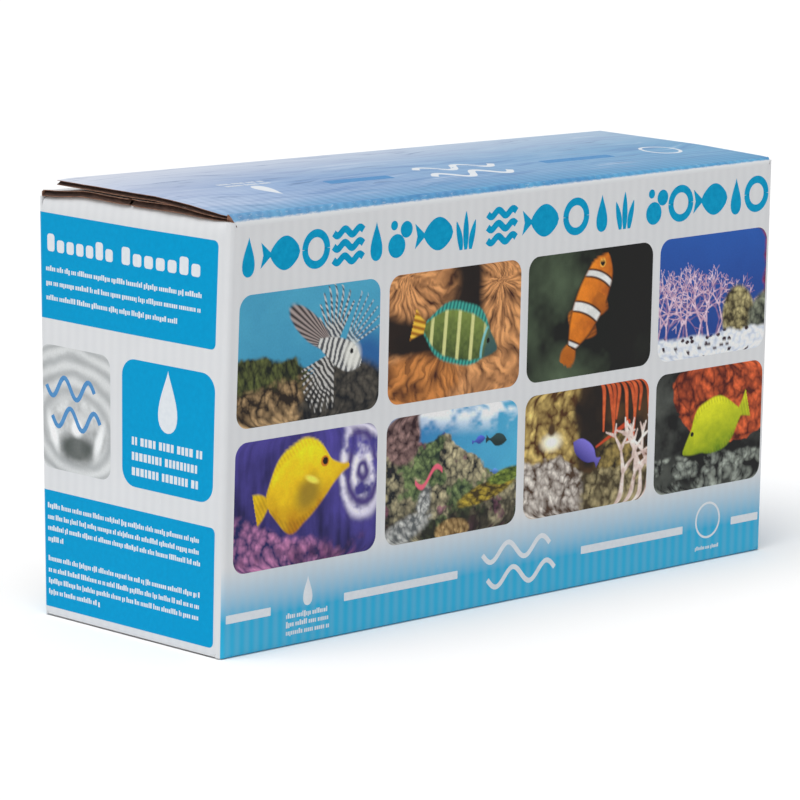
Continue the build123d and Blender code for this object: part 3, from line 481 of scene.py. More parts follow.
def bow(y):
    """How much higher the left end's top is than at its front corner: up in the middle, down at the back."""
    fall = END_RISE + END_BOW - BACK_RISE
    return END_BOW * ramp(y, -HALF_Y, -5 * MM) - fall * ramp(y, 35 * MM, HALF_Y + LEAN)


def rise(points, side):
    """How far the bowed top lifts a place on a wall's top, a fold or a flap of one side."""
    left = leftness(points[..., 0])
    if side == "front":
        return FOLD_RISE * left * ramp(points[..., 1] + HALF_Y, 0, FOLD)
    if side in ("back", "left"):
        return (END_RISE + bow(points[..., 1])) * left ** 1.5
    return 0.0 * left


# Each side's outward direction, the height of its top and its finish
SIDES = {
    "front": (0, -1, TOP, WHITE_FRONT),
    "back": (0, 1, TOP - BOARD, WHITE_BACK),
    "left": (-1, 0, INNER_TOP, WHITE_END),
    "right": (1, 0, INNER_TOP, WHITE_END),
}
LONG_SIDES, ENDS = ("front", "back"), ("left", "right")


def side_frame(side):
    """The middle of a side's foot, its direction to the right as seen from outside, and its outward direction."""
    x, y = SIDES[side][:2]
    return np.array((x * HALF_X, y * HALF_Y, 0.0)), np.array((-y, x, 0.0)), np.array((x, y, 0.0))


def ride(piece, body):
    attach(piece, body)


def wall_place(side, half):
    """Where a wall's (along, up, thickness) lies. It bends round half of each corner."""
    centre, along, outward = side_frame(side)
    flat = half - FOLD

    def place(u, v, w):
        angle = np.clip(np.abs(u) - flat, 0, None) / FOLD
        radius = FOLD - BOARD + w
        run = np.sign(u) * (np.minimum(np.abs(u), flat) + radius * np.sin(angle))
        out = radius * np.cos(angle) - FOLD
        points = centre + run[..., None] * along + out[..., None] * outward
        points[..., 2] = v
        return leaned(points)

    return place


def wall(side):
    """One wall of board: a printed outside and a kraft inside, between the folds at its foot and its top."""
    place, half = WALLS[side]
    top, outside = SIDES[side][2:]
    flat = half - FOLD
    corner = steps(flat + 0.3 * MM, flat + FOLD * math.pi / 4, 0.4 * MM)
    us = np.concatenate([-corner[::-1], steps(-flat, flat, WALL_GRID), corner])
    drop = {"front": CORNER_DROP, "back": FOLD}.get(side, 0.0)

    def bent(u, t, w):
        at_corner = np.abs(u) > flat + 0.1 * MM
        low = np.where(at_corner, FOOT_GAP, FOLD)
        lifted = rise(place(u, t * top, w), side) if side == "left" else 0.0
        high = np.where(at_corner, top + lifted - drop, top - FOLD)
        return place(u, low + t * (high - low), w)

    shell = Shell()
    shell.slab(bent, us, np.linspace(0, 1, 25), 0.0, BOARD, (0, 1, 0))
    piece = shell.build(f"{side}_wall", [outside, KRAFT])
    ride(piece, "carton")
    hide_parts(f"{side}_panel" if side in LONG_SIDES else f"{side}_end_panel")


WALLS = {side: (wall_place(side, half), half) for side, half in zip(SIDES, (HALF_X, HALF_X, HALF_Y, HALF_Y))}
for side in SIDES:
    wall(side)


# Folds, where a flap turns out of a wall


def set_back(u, v, half):
    """A flap's end cut back towards its fold."""
    near = ramp(np.abs(u), half - END_ZONE, half) * ramp(v, END_ZONE, 0)
    return u - np.sign(u) * near * CORNER_SETBACK


def fold(side, level, half, outside, foot=False):
    """A quarter round of board between a wall and a flap at level, at the wall's top or at its foot."""
    centre, along, outward = side_frame(side)
    up, sharp = (-1, 0.6) if foot else (1, 1.0)

    def place(u, t, w):
        angle = t * math.pi / 2
        radius = FOLD - BOARD + w
        if not foot and side in LONG_SIDES:
            u = u - np.sign(u) * FOLD * (1 - t) * ramp(np.abs(u), HALF_X - END_ZONE, HALF_X)
        if not foot and side == "front":
            u = set_back(u, FOLD * t, HALF_X)
        out = radius * np.cos(angle).clip(0) ** sharp - FOLD
        points = centre + u[..., None] * along + out[..., None] * outward
        points[..., 2] = level - up * FOLD + up * radius * np.sin(angle) ** sharp
        points = leaned(points)
        if not foot:
            points[..., 2] += rise(points, side) * np.sin(angle)
        elif side in ENDS:
            points[..., 2] += BOARD * t ** 5
        return points

    shell = Shell()
    shell.slab(place, steps(-half, half, FLAP_GRID), np.linspace(0, 1, 11), 0.0, BOARD, (0, 1, 2))
    piece = shell.build(f"{side}_foot_fold" if foot else f"{side}_fold", [outside, KRAFT, CUT])
    return piece


front_fold = fold("front", TOP, HALF_X, WATER)
for uv in front_fold.data.uv_layers["print_place"].data:
    uv.uv[1] *= FOLD
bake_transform(front_fold)
back_fold = fold("back", TOP - BOARD, HALF_X - 0.3 * MM, WHITE_BACK)
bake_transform(back_fold)
for side in ENDS:
    end_fold = fold(side, INNER_TOP, HALF_Y - FOLD, WHITE_END)
    centre, _, outward = side_frame(side)
    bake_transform(end_fold)
    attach(fold(side, 0.0, HALF_Y - FOLD, WHITE_END, foot=True), "carton")
for side in LONG_SIDES:
    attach(fold(side, 0.0, HALF_X - FOLD, WHITE_FRONT, foot=True), "carton")


# Flaps of fluted board


def fluted(name, node, body, place, us, vs, outside, wide=1.0):
    """A flap: two liners and the waved medium between them. wide is the distance over the flutes for one u."""
    shell = Shell()
    shell.slab(place, us[::4], vs, BOARD - LINER, BOARD, (0, 1, 3))
    shell.slab(place, us[::4], vs, 0.0, LINER, (1, 1, 3))
    middle, swing = BOARD / 2, BOARD / 2 - LINER - MEDIUM / 2

    def wave(shift):
        return lambda u, v: middle + swing * np.sin(u * wide / PITCH * 2 * math.pi) + shift

    shell.slab(place, us, vs, wave(-MEDIUM / 2), wave(MEDIUM / 2), (2, 2, 2))
    piece = shell.build(name, [outside, KRAFT, SHADED_FLUTE, CUT], crease=50)
    ride(piece, body)
    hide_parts(node)


def lift(u, v):
    """How far the outer flap stands up: at once behind its fold, and most over the left end."""
    front = FOLD_RISE * leftness(u)
    edge = LIFT_RIGHT + (LIFT_LEFT - LIFT_RIGHT) * leftness(u)
    return front + (edge - front) * np.clip((v - FOLD) / LIFT_RUN, 0, 1)


def raw_end(u, v, w, half, seed, amount=0.3 * MM):
    """A cut end that isn't quite straight: it moves board near u = half in and out."""
    near = ramp(np.abs(u), half - 7 * MM, half)
    jitter = smooth_noise(v / (3 * MM) + 40, w / (0.8 * MM) + np.sign(u) * 9 + 20, seed) - 0.75
    return u + np.sign(u) * near * jitter * amount * np.where(u < 0, 1.0, 0.4)


def crushed(u, v, w, half, seed, share, corner, span):
    """Height within the board, squeezed flatter towards the raw left end, and more beside the front fold."""
    near = ramp(-u, half - END_ZONE, half)
    squeeze = near * share * (0.55 + 0.75 * smooth_noise(v / (7 * MM), u * 0 + 4, seed))
    beside = leftness(u) ** 3 * corner * (1 - ramp(v, FOLD, span))
    return w * (1 - squeeze) * (1 - beside)


def outer_place(u, v, w):
    u2 = set_back(raw_end(u, v, w, HALF_X, 3), v, HALF_X)
    end = ramp(-u, HALF_X - END_ZONE, HALF_X)
    drop = end * (smooth_noise(v / (16 * MM), u * 0 + 9, 5) - 0.3) * 0.4 * MM * ramp(v, FOLD, 20 * MM)
    reach = REACH + (REACH_LEFT - REACH) * leftness(u)
    run = np.where(v > FOLD, FOLD + (v - FOLD) * (reach - FOLD) / (REACH - FOLD), v)
    z = TOP - BOARD + crushed(u, v, w, HALF_X, 8, 0.12, 0.35, 22 * MM) + lift(u, v) - np.clip(drop, 0, None)
    return pressed(np.stack([u2, -HALF_Y + run, z], -1), END_PRESS)


def level_place(low, half, seed, sag_seed, squeeze, layer=False):
    """A flat flap above its lowest corner, v counted towards the back. Its cut left end is frayed thicker."""
    front, level = low.y, low.z

    def place(u, v, w):
        u2 = raw_end(u, v, w, half, seed, 0.8 * MM)
        near = ramp(-u, half - 16 * MM, half)
        if layer:
            u2 = set_back(u2, v, half)
            v = v + LAYER_END_SLANT * ramp(-u, half - 70 * MM, half) * ramp(v, 30 * MM, layer_high.y - front)
        wave = near * (smooth_noise(v / (12 * MM), w * 0 + 2, sag_seed) - 0.6) * 0.6 * MM * ramp(v, 0, 6 * MM)
        z = level + crushed(u, v, w, half, sag_seed + 1, *squeeze, 32 * MM) + wave
        points = np.stack([u2, front + v, z], -1)
        points[..., 2] += rise(points, "left") * leftness(u) ** 0.2
        return pressed(points, END_PRESS)

    return place


fluted("outer_flap_board", "top_outer_flap", "outer_flap", outer_place, steps(-HALF_X, HALF_X, WAVE_GRID),
       steps(FOLD, REACH, FLAP_GRID), WATER)
layer_us = steps(layer_low.x, layer_high.x, WAVE_GRID)
fluted("front_inner_board", "top_front_inner_layer", "outer_flap",
       level_place(layer_low, layer_high.x, 12, 6, (-0.22, 0.6), layer=True), layer_us,
       steps(0, layer_high.y - layer_low.y, FLAP_GRID), WHITE_FLAP)
fluted("back_flap_board", "top_back_flap", "back_flap",
       level_place(back_flap_low, back_flap_high.x, 21, 15, (-0.12, 0.0)), layer_us,
       steps(0, back_flap_high.y - FOLD - back_flap_low.y, FLAP_GRID), WHITE_FLAP)

DUST_REACH = dust_high.x - dust_low.x
DUST_ROOT = dust_high.y
DUST_TAPER = 29 * MM


def dust_place(side, sense):
    """A top dust flap, narrower towards its free edge: u runs from -1 to 1 across it."""

    def place(u, v, w):
        half = DUST_ROOT - DUST_TAPER * v / DUST_REACH
        points = np.stack([sense * (HALF_X - BOARD - v), u * half * sense, INNER_TOP - BOARD + w], -1)
        points[..., 2] += rise(points, side) * (1 - ramp(v, 0, DUST_REACH))
        return pressed(points)

    return place


for side, sense in (("left", -1), ("right", 1)):
    fluted(f"{side}_dust_board", f"top_{side}_dust_flap", f"{side}_dust", dust_place(side, sense),
           np.linspace(-1, 1, 241), steps(FOLD - BOARD, DUST_REACH, FLAP_GRID), WHITE_END, wide=DUST_ROOT)


def bottom_place(u, v, w):
    return np.stack([u, v, BOARD - w], -1)


def under_place(u, v, w):
    return np.stack([v, u, 2 * BOARD - w], -1)


def tab_place(u, v, w):
    return leaned(np.stack([u, HALF_Y - BOARD - w, v], -1))


bottom_us = steps(FOLD + 0.4 * MM - HALF_X, HALF_X - FOLD - 0.4 * MM, WAVE_GRID)
for side, near, far in (("front", FOLD, 0.0), ("back", 0.0, FOLD)):
    low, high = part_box(f"bottom_{side}_flap")
    fluted(f"{side}_bottom_board", f"bottom_{side}_flap", "carton", bottom_place, bottom_us,
           steps(low.y + near, high.y - far, BOTTOM_GRID), WHITE_FLAP)
for side, near, far in (("left", FOLD - BOARD, 0.0), ("right", 0.0, FOLD - BOARD)):
    low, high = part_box(f"bottom_{side}_dust_flap")
    fluted(f"{side}_bottom_dust_board", f"bottom_{side}_dust_flap", "carton", under_place,
           steps(low.y, high.y, WAVE_GRID), steps(low.x + near, high.x - far, BOTTOM_GRID), WHITE_FLAP)
low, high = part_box("glue_tab")
fluted("corner_tab_board", "glue_tab", "carton", tab_place, steps(low.x, high.x, WAVE_GRID),
       steps(low.z, high.z, BOTTOM_GRID), KRAFT)


# Print


SMALL_TICK, TOP_TICK, BADGE_TICK = 1.9, 3.2, 4.0


def face(side):
    """Where (across, down, height) on a wall's outside lies, from the wall's top left corner."""
    place, half = WALLS[side]
    return lambda u, v, w: place(u - half, TOP - v, BOARD + w)


def top_face(u, v, w):
    return outer_place(u - HALF_X, v, BOARD + w)


def printed(name, place, shapes, material, level=1, body="carton"):
    """Shapes of one ink in one piece. A shape is an outline in millimetres from the face's top left corner."""
    shell = Shell()
    for outline in shapes:
        shell.plate(place, [(x * MM, y * MM) for x, y in outline], (level - 1) * INK, level * INK)
    ride(shell.build(name, [material]), body)


def drop(cx, cy, size, turn=28):
    """A plain drop outline, its point up."""
    angles = [2 * math.pi * index / turn for index in range(turn)]
    return [(cx - size * 0.62 * math.sin(a) * math.sin(a / 2) ** 1.6, cy - size * math.cos(a)) for a in angles]


def blade(x, bottom, lean, tall, half):
    """One pointed blade of a water plant."""
    ts = np.linspace(0, 1, 16)
    xs, ys = x + lean * ts ** 1.5, bottom - tall * ts
    wide = half * np.sin(math.pi * (0.14 + 0.86 * ts)) ** 0.8
    return list(zip(xs - wide, ys)) + list(zip((xs + wide)[::-1], ys[::-1]))[1:]


def fish_outline(cx, cy, wide, tall, turn=20):
    """A plain fish, head to the right."""
    nose, tail = cx + wide / 2, cx - wide / 2
    root = tail + wide * 0.24
    ts = np.linspace(0, 1, turn)
    rounds = [0.43 * math.sin(math.pi * t) ** 0.8 if 0 < t < 1 else 0.0 for t in ts]
    upper = [(nose + (root - nose) * t, cy - tall * ((0.07 if t else 0.0) + more)) for t, more in zip(ts, rounds)]
    lower = [(x, 2 * cy - y) for x, y in reversed(upper)]
    return upper + [(tail, cy - tall * 0.38), (tail + wide * 0.06, cy), (tail, cy + tall * 0.38)] + lower[:-1]


def band(xs, ys, width):
    """A strip of even width along a line of points."""
    points = np.stack([xs, ys], 1)
    along = np.gradient(points, axis=0)
    normal = np.stack([-along[:, 1], along[:, 0]], 1) / np.linalg.norm(along, axis=1)[:, None]
    left, right = points + normal * width / 2, points - normal * width / 2
    return [tuple(p) for p in np.concatenate([left, right[::-1]])]


def waves(x0, x1, levels, swing, width, shift=0, count=30):
    """Waves one over the other, each shifted from the one before."""
    xs = np.linspace(x0, x1, count)
    wave = swing * np.sin((xs - x0) / (x1 - x0) * 4 * math.pi)
    return [band(xs + row * shift, level + wave, width) for row, level in enumerate(levels)]


def wave_mark(x0, x1, y, height, width):
    return waves(x0, x1, (y, y + height * 1.5), height * 0.5, width, 4, 40)


def hoop(cx, cy, radius, width, turn=36):
    """A plain ring in two halves."""
    halves = [np.linspace(first, first + math.pi, turn // 2) for first in (0, math.pi)]
    return [band(cx + radius * np.cos(angles), cy + radius * np.sin(angles), width) for angles in halves]


def title_marks():
    """Three groups of plain water marks where the title stands: drops, bubbles, waves, fish, rings and weed."""
    top, bottom = 8.8, 28.4
    middle, tall = (top + bottom) / 2, bottom - top
    levels = middle + tall * np.array((-0.34, 0, 0.34))
    bubbles = ((-2.5, bottom - 6.2, 6.0), (4.2, top + 5.6, 4.2), (-4.4, top + 3.0, 2.4))
    marks = {
        "drop": (13, lambda cx: [drop(cx, middle, tall / 2)]),
        "fish": (27, lambda cx: [fish_outline(cx, middle, 27, tall * 0.86)]),
        "hoop": (19, lambda cx: hoop(cx, middle, tall / 2 - 2, 4.0)),
        "waves": (23, lambda cx: waves(cx - 10.5, cx + 10.5, levels, 1.5, 3.6)),
        "bubbles": (17, lambda cx: [rounded(cx - r + dx, cx + r + dx, y - r, y + r, r) for dx, y, r in bubbles]),
        "weed": (15, lambda cx: [blade(cx + lean, bottom, lean, tall * high, 2.0)
                                 for lean, high in ((-3.4, 0.76), (0.0, 1.0), (3.4, 0.76))]),
    }
    shapes = []
    for x, end, names in ((6, 172, "drop fish hoop waves drop bubbles fish weed"),
                          (179, 290, "waves fish hoop drop weed"), (299, 396, "bubbles hoop fish drop hoop")):
        group = [marks[name] for name in names.split()]
        gap = (end - x - sum(wide for wide, _ in group)) / (len(group) - 1)
        for wide, draw in group:
            shapes += draw(x + wide / 2)
            x += wide + gap
    return shapes


def text_line(start, end, y, height, seed):
    """One line of plain ticks in word-length groups. They are no letters. Large ones are even bars."""
    rng = np.random.RandomState(seed)
    uneven = height < 3
    shapes, x, left = [], start, 0
    while x < end:
        left = left or rng.randint(2, 10)
        wide = height * rng.uniform(0.34, 0.62)
        top = y - height * 0.4 * (rng.rand() < 0.25) * uneven
        foot = y + height + height * 0.3 * (rng.rand() < 0.1) * uneven
        shapes.append([(x, foot), (x + wide, foot), (x + wide, top), (x, top)])
        left -= 1
        x += wide + height * (0.2 if left else 0.62)
    return shapes


def text_block(start, rows, height, seed):
    """Lines of ticks, each given by its height on the face and its end."""
    lines = [text_line(start, end, y, height, seed + index) for index, (y, end) in enumerate(rows)]
    return sum(lines, [])


def sheet(name, place, corners, left_radius, right_radius, material, size, paint=None):
    """A printed area on a fine grid, so that it follows the board round a corner. Sizes are in millimetres."""
    x0, x1, y0, y1 = corners
    radius = max(left_radius, right_radius)

    def inset(v, own):
        into = np.clip(np.maximum(y0 + own - v, v - y1 + own), 0, own)
        return own - np.sqrt(np.clip(own ** 2 - into ** 2, 0, None))

    def shaped(u, v, w):
        share = (u - x0) / (x1 - x0)
        low, high = x0 + inset(v, left_radius), x1 - inset(v, right_radius)
        return place((low + share * (high - low)) * MM, v * MM, w)

    edge = radius * (1 - np.cos(np.linspace(0, math.pi / 2, 9)))
    vs = np.concatenate([y0 + edge, steps(y0 + radius, y1 - radius, size)[1:-1], y1 - edge[::-1]])
    us = steps(x0, x1, size) if paint else np.concatenate([steps(x0, x0 + 5, 0.5), steps(x0 + 5, x1, size)[1:]])
    shell = Shell()
    shell.slab(shaped, us, vs, 0.0, INK, (0, 0, 0), paint, backed=False)
    ride(shell.build(name, [material]), "carton")


def long_face_print(side):
    place = face(side)
    printed(f"{side}_title_marks", place, title_marks(), CYAN)
    dashes = ((3.6, 33.5), (83.5, 164), (256, 335.5), (374.5, 396.4))
    stripe = [rounded(x0, x1, 193.4, 197.6, 0.4) for x0, x1 in dashes]
    printed(f"{side}_stripe", place, stripe, WHITE_INK)
    caption = text_block(44, ((199.0, 73), (203.2, 73), (207.4, 73)), SMALL_TICK, 5)
    printed(f"{side}_drop_mark", place, [drop(58.5, 188.5, 7.4)] + caption, WHITE_INK)
    printed(f"{side}_wave_mark", place, wave_mark(182, 232, 188, 9, 2.6), WHITE_INK)
    ring = hoop(355.5, 192.5, 9.4, 1.2) + text_line(346, 365, 206.8, 1.5, 9)
    printed(f"{side}_hoop_mark", place, ring, WHITE_INK)


def end_face_print(side):
    """The narrow face's panels. They run out to its far corner and stop short of the near one."""
    place = face(side)
    for name, corners, left_radius, right_radius in (("upper", (0.8, 123.4, 10.5, 63.5), 0.8, 3.0),
                                                     ("badge", (60, 124, 75.5, 139), 9.0, 9.0),
                                                     ("lower", (0.8, 126, 150.5, 210), 0.8, 3.0)):
        sheet(f"{side}_{name}_panel", place, corners, left_radius, right_radius, BLUE, 6)
    lines = []
    for x, step in ((7.0, 48.5 / 7), (60.0, 54.0 / 7)):
        for i in range(7):
            lines.append(rounded(x + step * i, x + step * (i + 0.74), 20.8 if i in (0, 5) else 23.4, 29.6, 1.6))
    lines += text_block(5.8, ((37.6, 113), (44.8, 113), (52.2, 97)), SMALL_TICK, 20)
    lines += text_block(4.6, ((157.6, 115), (163.4, 115), (169.0, 115), (174.6, 15)), SMALL_TICK, 30)
    lines += text_block(4.6, ((184.6, 115), (190.4, 115), (196.0, 115), (201.6, 42)), SMALL_TICK, 40)
    lines += [drop(92, 93.5, 15.5)] + text_block(67, ((114.0, 115), (121.6, 115), (129.2, 115)), BADGE_TICK, 50)
    printed(f"{side}_lines", place, lines, WHITE_INK, 2)


long_face_print("front")
long_face_print("back")
end_face_print("left")
end_face_print("right")

top_marks = [drop(66, 42, 11)] + text_block(52, ((56, 82), (62.5, 82)), TOP_TICK, 61)
top_marks += wave_mark(178, 232, 36, 12, 4) + hoop(362, 48, 11, 2)
printed("top_marks", top_face, top_marks, WHITE_INK, 1, "outer_flap")
top_stripe = [rounded(110, 155, 42, 49, 1), rounded(267, 320, 42, 49, 1)]
printed("top_stripe", top_face, top_stripe, PALE_BLUE, 1, "outer_flap")


# Painted pictures. x runs 0 to 1.5 and y 0 to 1 upwards, over a picture tile.


def over(base, colour, cover):
    """Lay a display colour, or an array of light, over the base where cover is 1."""
    colour = linear(colour) if isinstance(colour, tuple) else colour
    cover = np.clip(cover, 0, 1)[..., None]
    return base * (1 - cover) + colour * cover


def tone(dark, light, value):
    value = np.clip(value, 0, 1)[..., None]
    return linear(dark) * (1 - value) + linear(light) * value


def oval(x, y, cx, cy, rx, ry, angle=0.0, soft=0.06):
    turned = math.radians(angle)
    dx, dy = x - cx, y - cy
    along = (dx * math.cos(turned) + dy * math.sin(turned)) / rx
    across = (dy * math.cos(turned) - dx * math.sin(turned)) / ry
    return ramp(np.hypot(along, across), 1 + soft, 1 - soft)


def cells(x, y, scale, seed):
    """Distance to the nearest of a scatter of points, and a number between 0 and 1 for that point."""
    table = np.random.RandomState(seed).rand(64, 64, 3)
    x, y = x * scale, y * scale
    xi, yi = np.floor(x).astype(int), np.floor(y).astype(int)
    nearest, mark = np.full(x.shape, 9.0), np.zeros(x.shape)
    for i in (-1, 0, 1):
        for j in (-1, 0, 1):
            spot = table[(xi + i) % 64, (yi + j) % 64]
            distance = np.hypot(xi + i + spot[..., 0] - x, yi + j + spot[..., 1] - y)
            mark = np.where(distance < nearest, spot[..., 2], mark)
            nearest = np.minimum(nearest, distance)
    return nearest, mark


def stroke(x, y, x0, y0, x1, y1, width):
    """Cover of a straight stroke that thins towards its end."""
    dx, dy = x1 - x0, y1 - y0
    t = np.clip(((x - x0) * dx + (y - y0) * dy) / (dx * dx + dy * dy), 0, 1)
    distance = np.hypot(x - x0 - t * dx, y - y0 - t * dy)
    return ramp(distance, width * (1.15 - 0.6 * t), width * (0.6 - 0.4 * t))


def branches(x, y, x0, y0, angle, length, width, depth, rng):
    """Cover of a branching coral."""
    x1, y1 = x0 + length * math.cos(angle), y0 + length * math.sin(angle)
    cover = stroke(x, y, x0, y0, x1, y1, width)
    if depth:
        for turn in (-0.5, 0.5):
            new = angle + turn + rng.uniform(-0.3, 0.3)
            reach = length * rng.uniform(0.66, 0.88)
            cover = np.maximum(cover, branches(x, y, x1, y1, new, reach, width * 0.8, depth - 1, rng))
    return cover


def curve(value, places, heights):
    """A smooth line through heights at places."""
    places, heights = np.array(places, float), np.array(heights, float)
    slopes = np.gradient(heights, places)
    index = np.clip(np.searchsorted(places, value) - 1, 0, len(places) - 2)
    span = places[index + 1] - places[index]
    t = np.clip((value - places[index]) / span, 0, 1)
    start, end = heights[index], heights[index + 1]
    rise, fall = slopes[index] * span, slopes[index + 1] * span
    return (start * (2 * t ** 3 - 3 * t ** 2 + 1) + end * (3 * t ** 2 - 2 * t ** 3)
            + rise * (t ** 3 - 2 * t ** 2 + t) + fall * (t ** 3 - t ** 2))


class Fish:
    """A side-on fish: s and h are its own coordinates along and across the body."""

    def __init__(self, x, y, cx, cy, length, angle, flip=1):
        turned = math.radians(angle)
        dx, dy = x - cx, y - cy
        self.s = (dx * math.cos(turned) + dy * math.sin(turned)) / length * 2 * flip
        self.h = (dy * math.cos(turned) - dx * math.sin(turned)) / length * 2

    def outline(self, places, tops, bottoms, soft=0.03):
        """Cover between an upper and a lower outline, given at places from tail to snout."""
        top, bottom = curve(self.s, places, tops), curve(self.s, places, bottoms)
        inside = (self.s > places[0]) & (self.s < places[-1])
        return ramp(self.h, top + soft, top - soft) * ramp(self.h, bottom - soft, bottom + soft) * inside

    def spot(self, cx, cy, rx, ry, angle=0.0, soft=0.06):
        return oval(self.s, self.h, cx, cy, rx, ry, angle, soft)


class Painting:
    """A picture built up in layers over a grid of places."""

    def __init__(self, x, y):
        self.x, self.y, self.light = x, y, np.zeros((*x.shape, 3))

    def lay(self, colour, cover=1.0):
        self.light = over(self.light, colour, np.broadcast_to(cover, self.x.shape))

    def cloud(self, scale, seed, octaves=4):
        return cloud(self.x, self.y, scale, seed, octaves)

    def drift(self, amount, scale, seed, octaves=4):
        """Cloudy noise about zero."""
        return amount * (self.cloud(scale, seed, octaves) - 0.5)

    def below(self, level, soft=0.02):
        return ramp(self.y, level + soft, level - soft)

    def spot(self, colour, cx, cy, rx, ry, angle=0.0, soft=0.06, most=1.0):
        self.lay(colour, oval(self.x, self.y, cx, cy, rx, ry, angle, soft) * most)

    def growth(self, scale, seed, dark, light, stretch=1.0, uneven=0.6):
        """Lumpy growth: rounded knobs lit at their tops, dark between them, in patches."""
        x, y = self.x, self.y * stretch
        wander = cloud(x, y, scale * 0.6, seed + 7, 3) * 0.9 / scale * 2
        distance, mark = cells(x + wander, y - wander, scale, seed)
        fine, _ = cells(x, y, scale * 2.7, seed + 1)
        value = 1.08 - 1.15 * distance - 0.35 * fine
        value = value * (1 - uneven + uneven * mark) + 0.55 * (cloud(x, y, scale * 0.35, seed + 2, 3) - 0.5)
        return tone(dark, light, value)

    def tentacles(self, cx, cy, seed, dark, light):
        """Strands that spread from a middle, lit at their tips."""
        reach = np.hypot(self.x - cx, self.y - cy)
        angle = np.arctan2(self.y - cy, self.x - cx) + self.drift(0.5, 5, seed + 3, 3)
        distance, mark = cells(angle * 7.5, reach * 5.5, 1.0, seed)
        fine, _ = cells(angle * 15.0, reach * 9.0, 1.0, seed + 1)
        return tone(dark, light, (1.1 - 1.2 * distance) * (0.45 + 0.75 * mark) + 0.35 * (0.6 - fine))

    def corals(self, roots, foot, length, width, depth, rng):
        """Cover of a row of branching corals, each given by its place and its lean."""
        cover = 0
        for start, lean in roots:
            cover = np.maximum(cover, branches(self.x, self.y, start, foot, lean, length, width, depth, rng))
        return cover


def spiny_fish_scene(art, x, y):
    art.lay(tone((40, 122, 164), (78, 168, 198), 0.25 + 0.45 * y + art.drift(0.5, 3, 71)))
    tufts = art.growth(24, 74, (14, 22, 14), (104, 112, 58), 0.6)
    tufted = ramp(y + art.drift(0.2, 6, 75), 0.22, 0.32)
    reef = over(art.growth(15, 73, (36, 26, 18), (206, 170, 122)), tufts, tufted)
    art.lay(reef, art.below(0.52 - 0.1 * x - 0.3 * ramp(x, 0.55, 1.1) + art.drift(0.16, 7, 72), 0.03))
    art.spot((34, 92, 150), 1.34, 0.36, 0.22, 0.24, -30, 0.5)
    art.spot(art.growth(15, 76, (12, 16, 22), (92, 86, 76)), 1.16, 0.02, 0.52, 0.4, -8, 0.12)
    bands = ramp(np.sin((x + y) * 120 + 9 * art.cloud(9, 77)), -0.3, 0.5)
    back, side, fin = (tone(dark, light, bands) for dark, light in (
        ((70, 76, 84), (190, 192, 190)), ((78, 98, 112), (176, 190, 196)), ((60, 60, 60), (188, 186, 182))))
    rays = [(62 + 9 * i, 0.5 - 0.012 * (i - 3) ** 2, (1.02, 0.5), (1.0, 0.52), 0.022, back) for i in range(9)]
    rays += [(20 + 9 * i, 0.46, (1.1, 0.5), (1.1, 0.48), 0.014, side) for i in range(6)]
    rays += [(196 + 8.5 * i, 0.44 - 0.02 * abs(i - 6), (0.98, 0.46), (0.98, 0.46), 0.026, fin) for i in range(10)]
    for lean, reach, (cx, cy), root, width, skin in rays:
        lean = math.radians(lean)
        art.lay(skin, stroke(x, y, *root, cx + reach * math.cos(lean), cy + reach * math.sin(lean), width))
    fan = tone((44, 38, 40), (164, 150, 146), 0.5 + 0.5 * np.sin(np.arctan2(y - 0.52, x - 1.0) * 70))
    art.spot(fan, 0.74, 0.7, 0.27, 0.1, -38, 0.1)
    fish = Fish(x, y, 1.06, 0.47, 0.5, -24)
    stripes = ramp(np.sin(fish.s * 30 + 6 * art.cloud(7, 78)), -0.4, 0.3)
    art.lay(tone((74, 76, 80), (206, 206, 202), stripes),
            fish.outline((-1, -0.5, 0.1, 0.6, 1), (0.12, 0.34, 0.46, 0.4, 0.1), (-0.1, -0.26, -0.42, -0.4, -0.12)))
    art.spot((222, 222, 214), 1.2, 0.44, 0.085, 0.1, 0, 0.4, 0.8)
    art.spot((22, 22, 24), 1.19, 0.47, 0.018, 0.02)


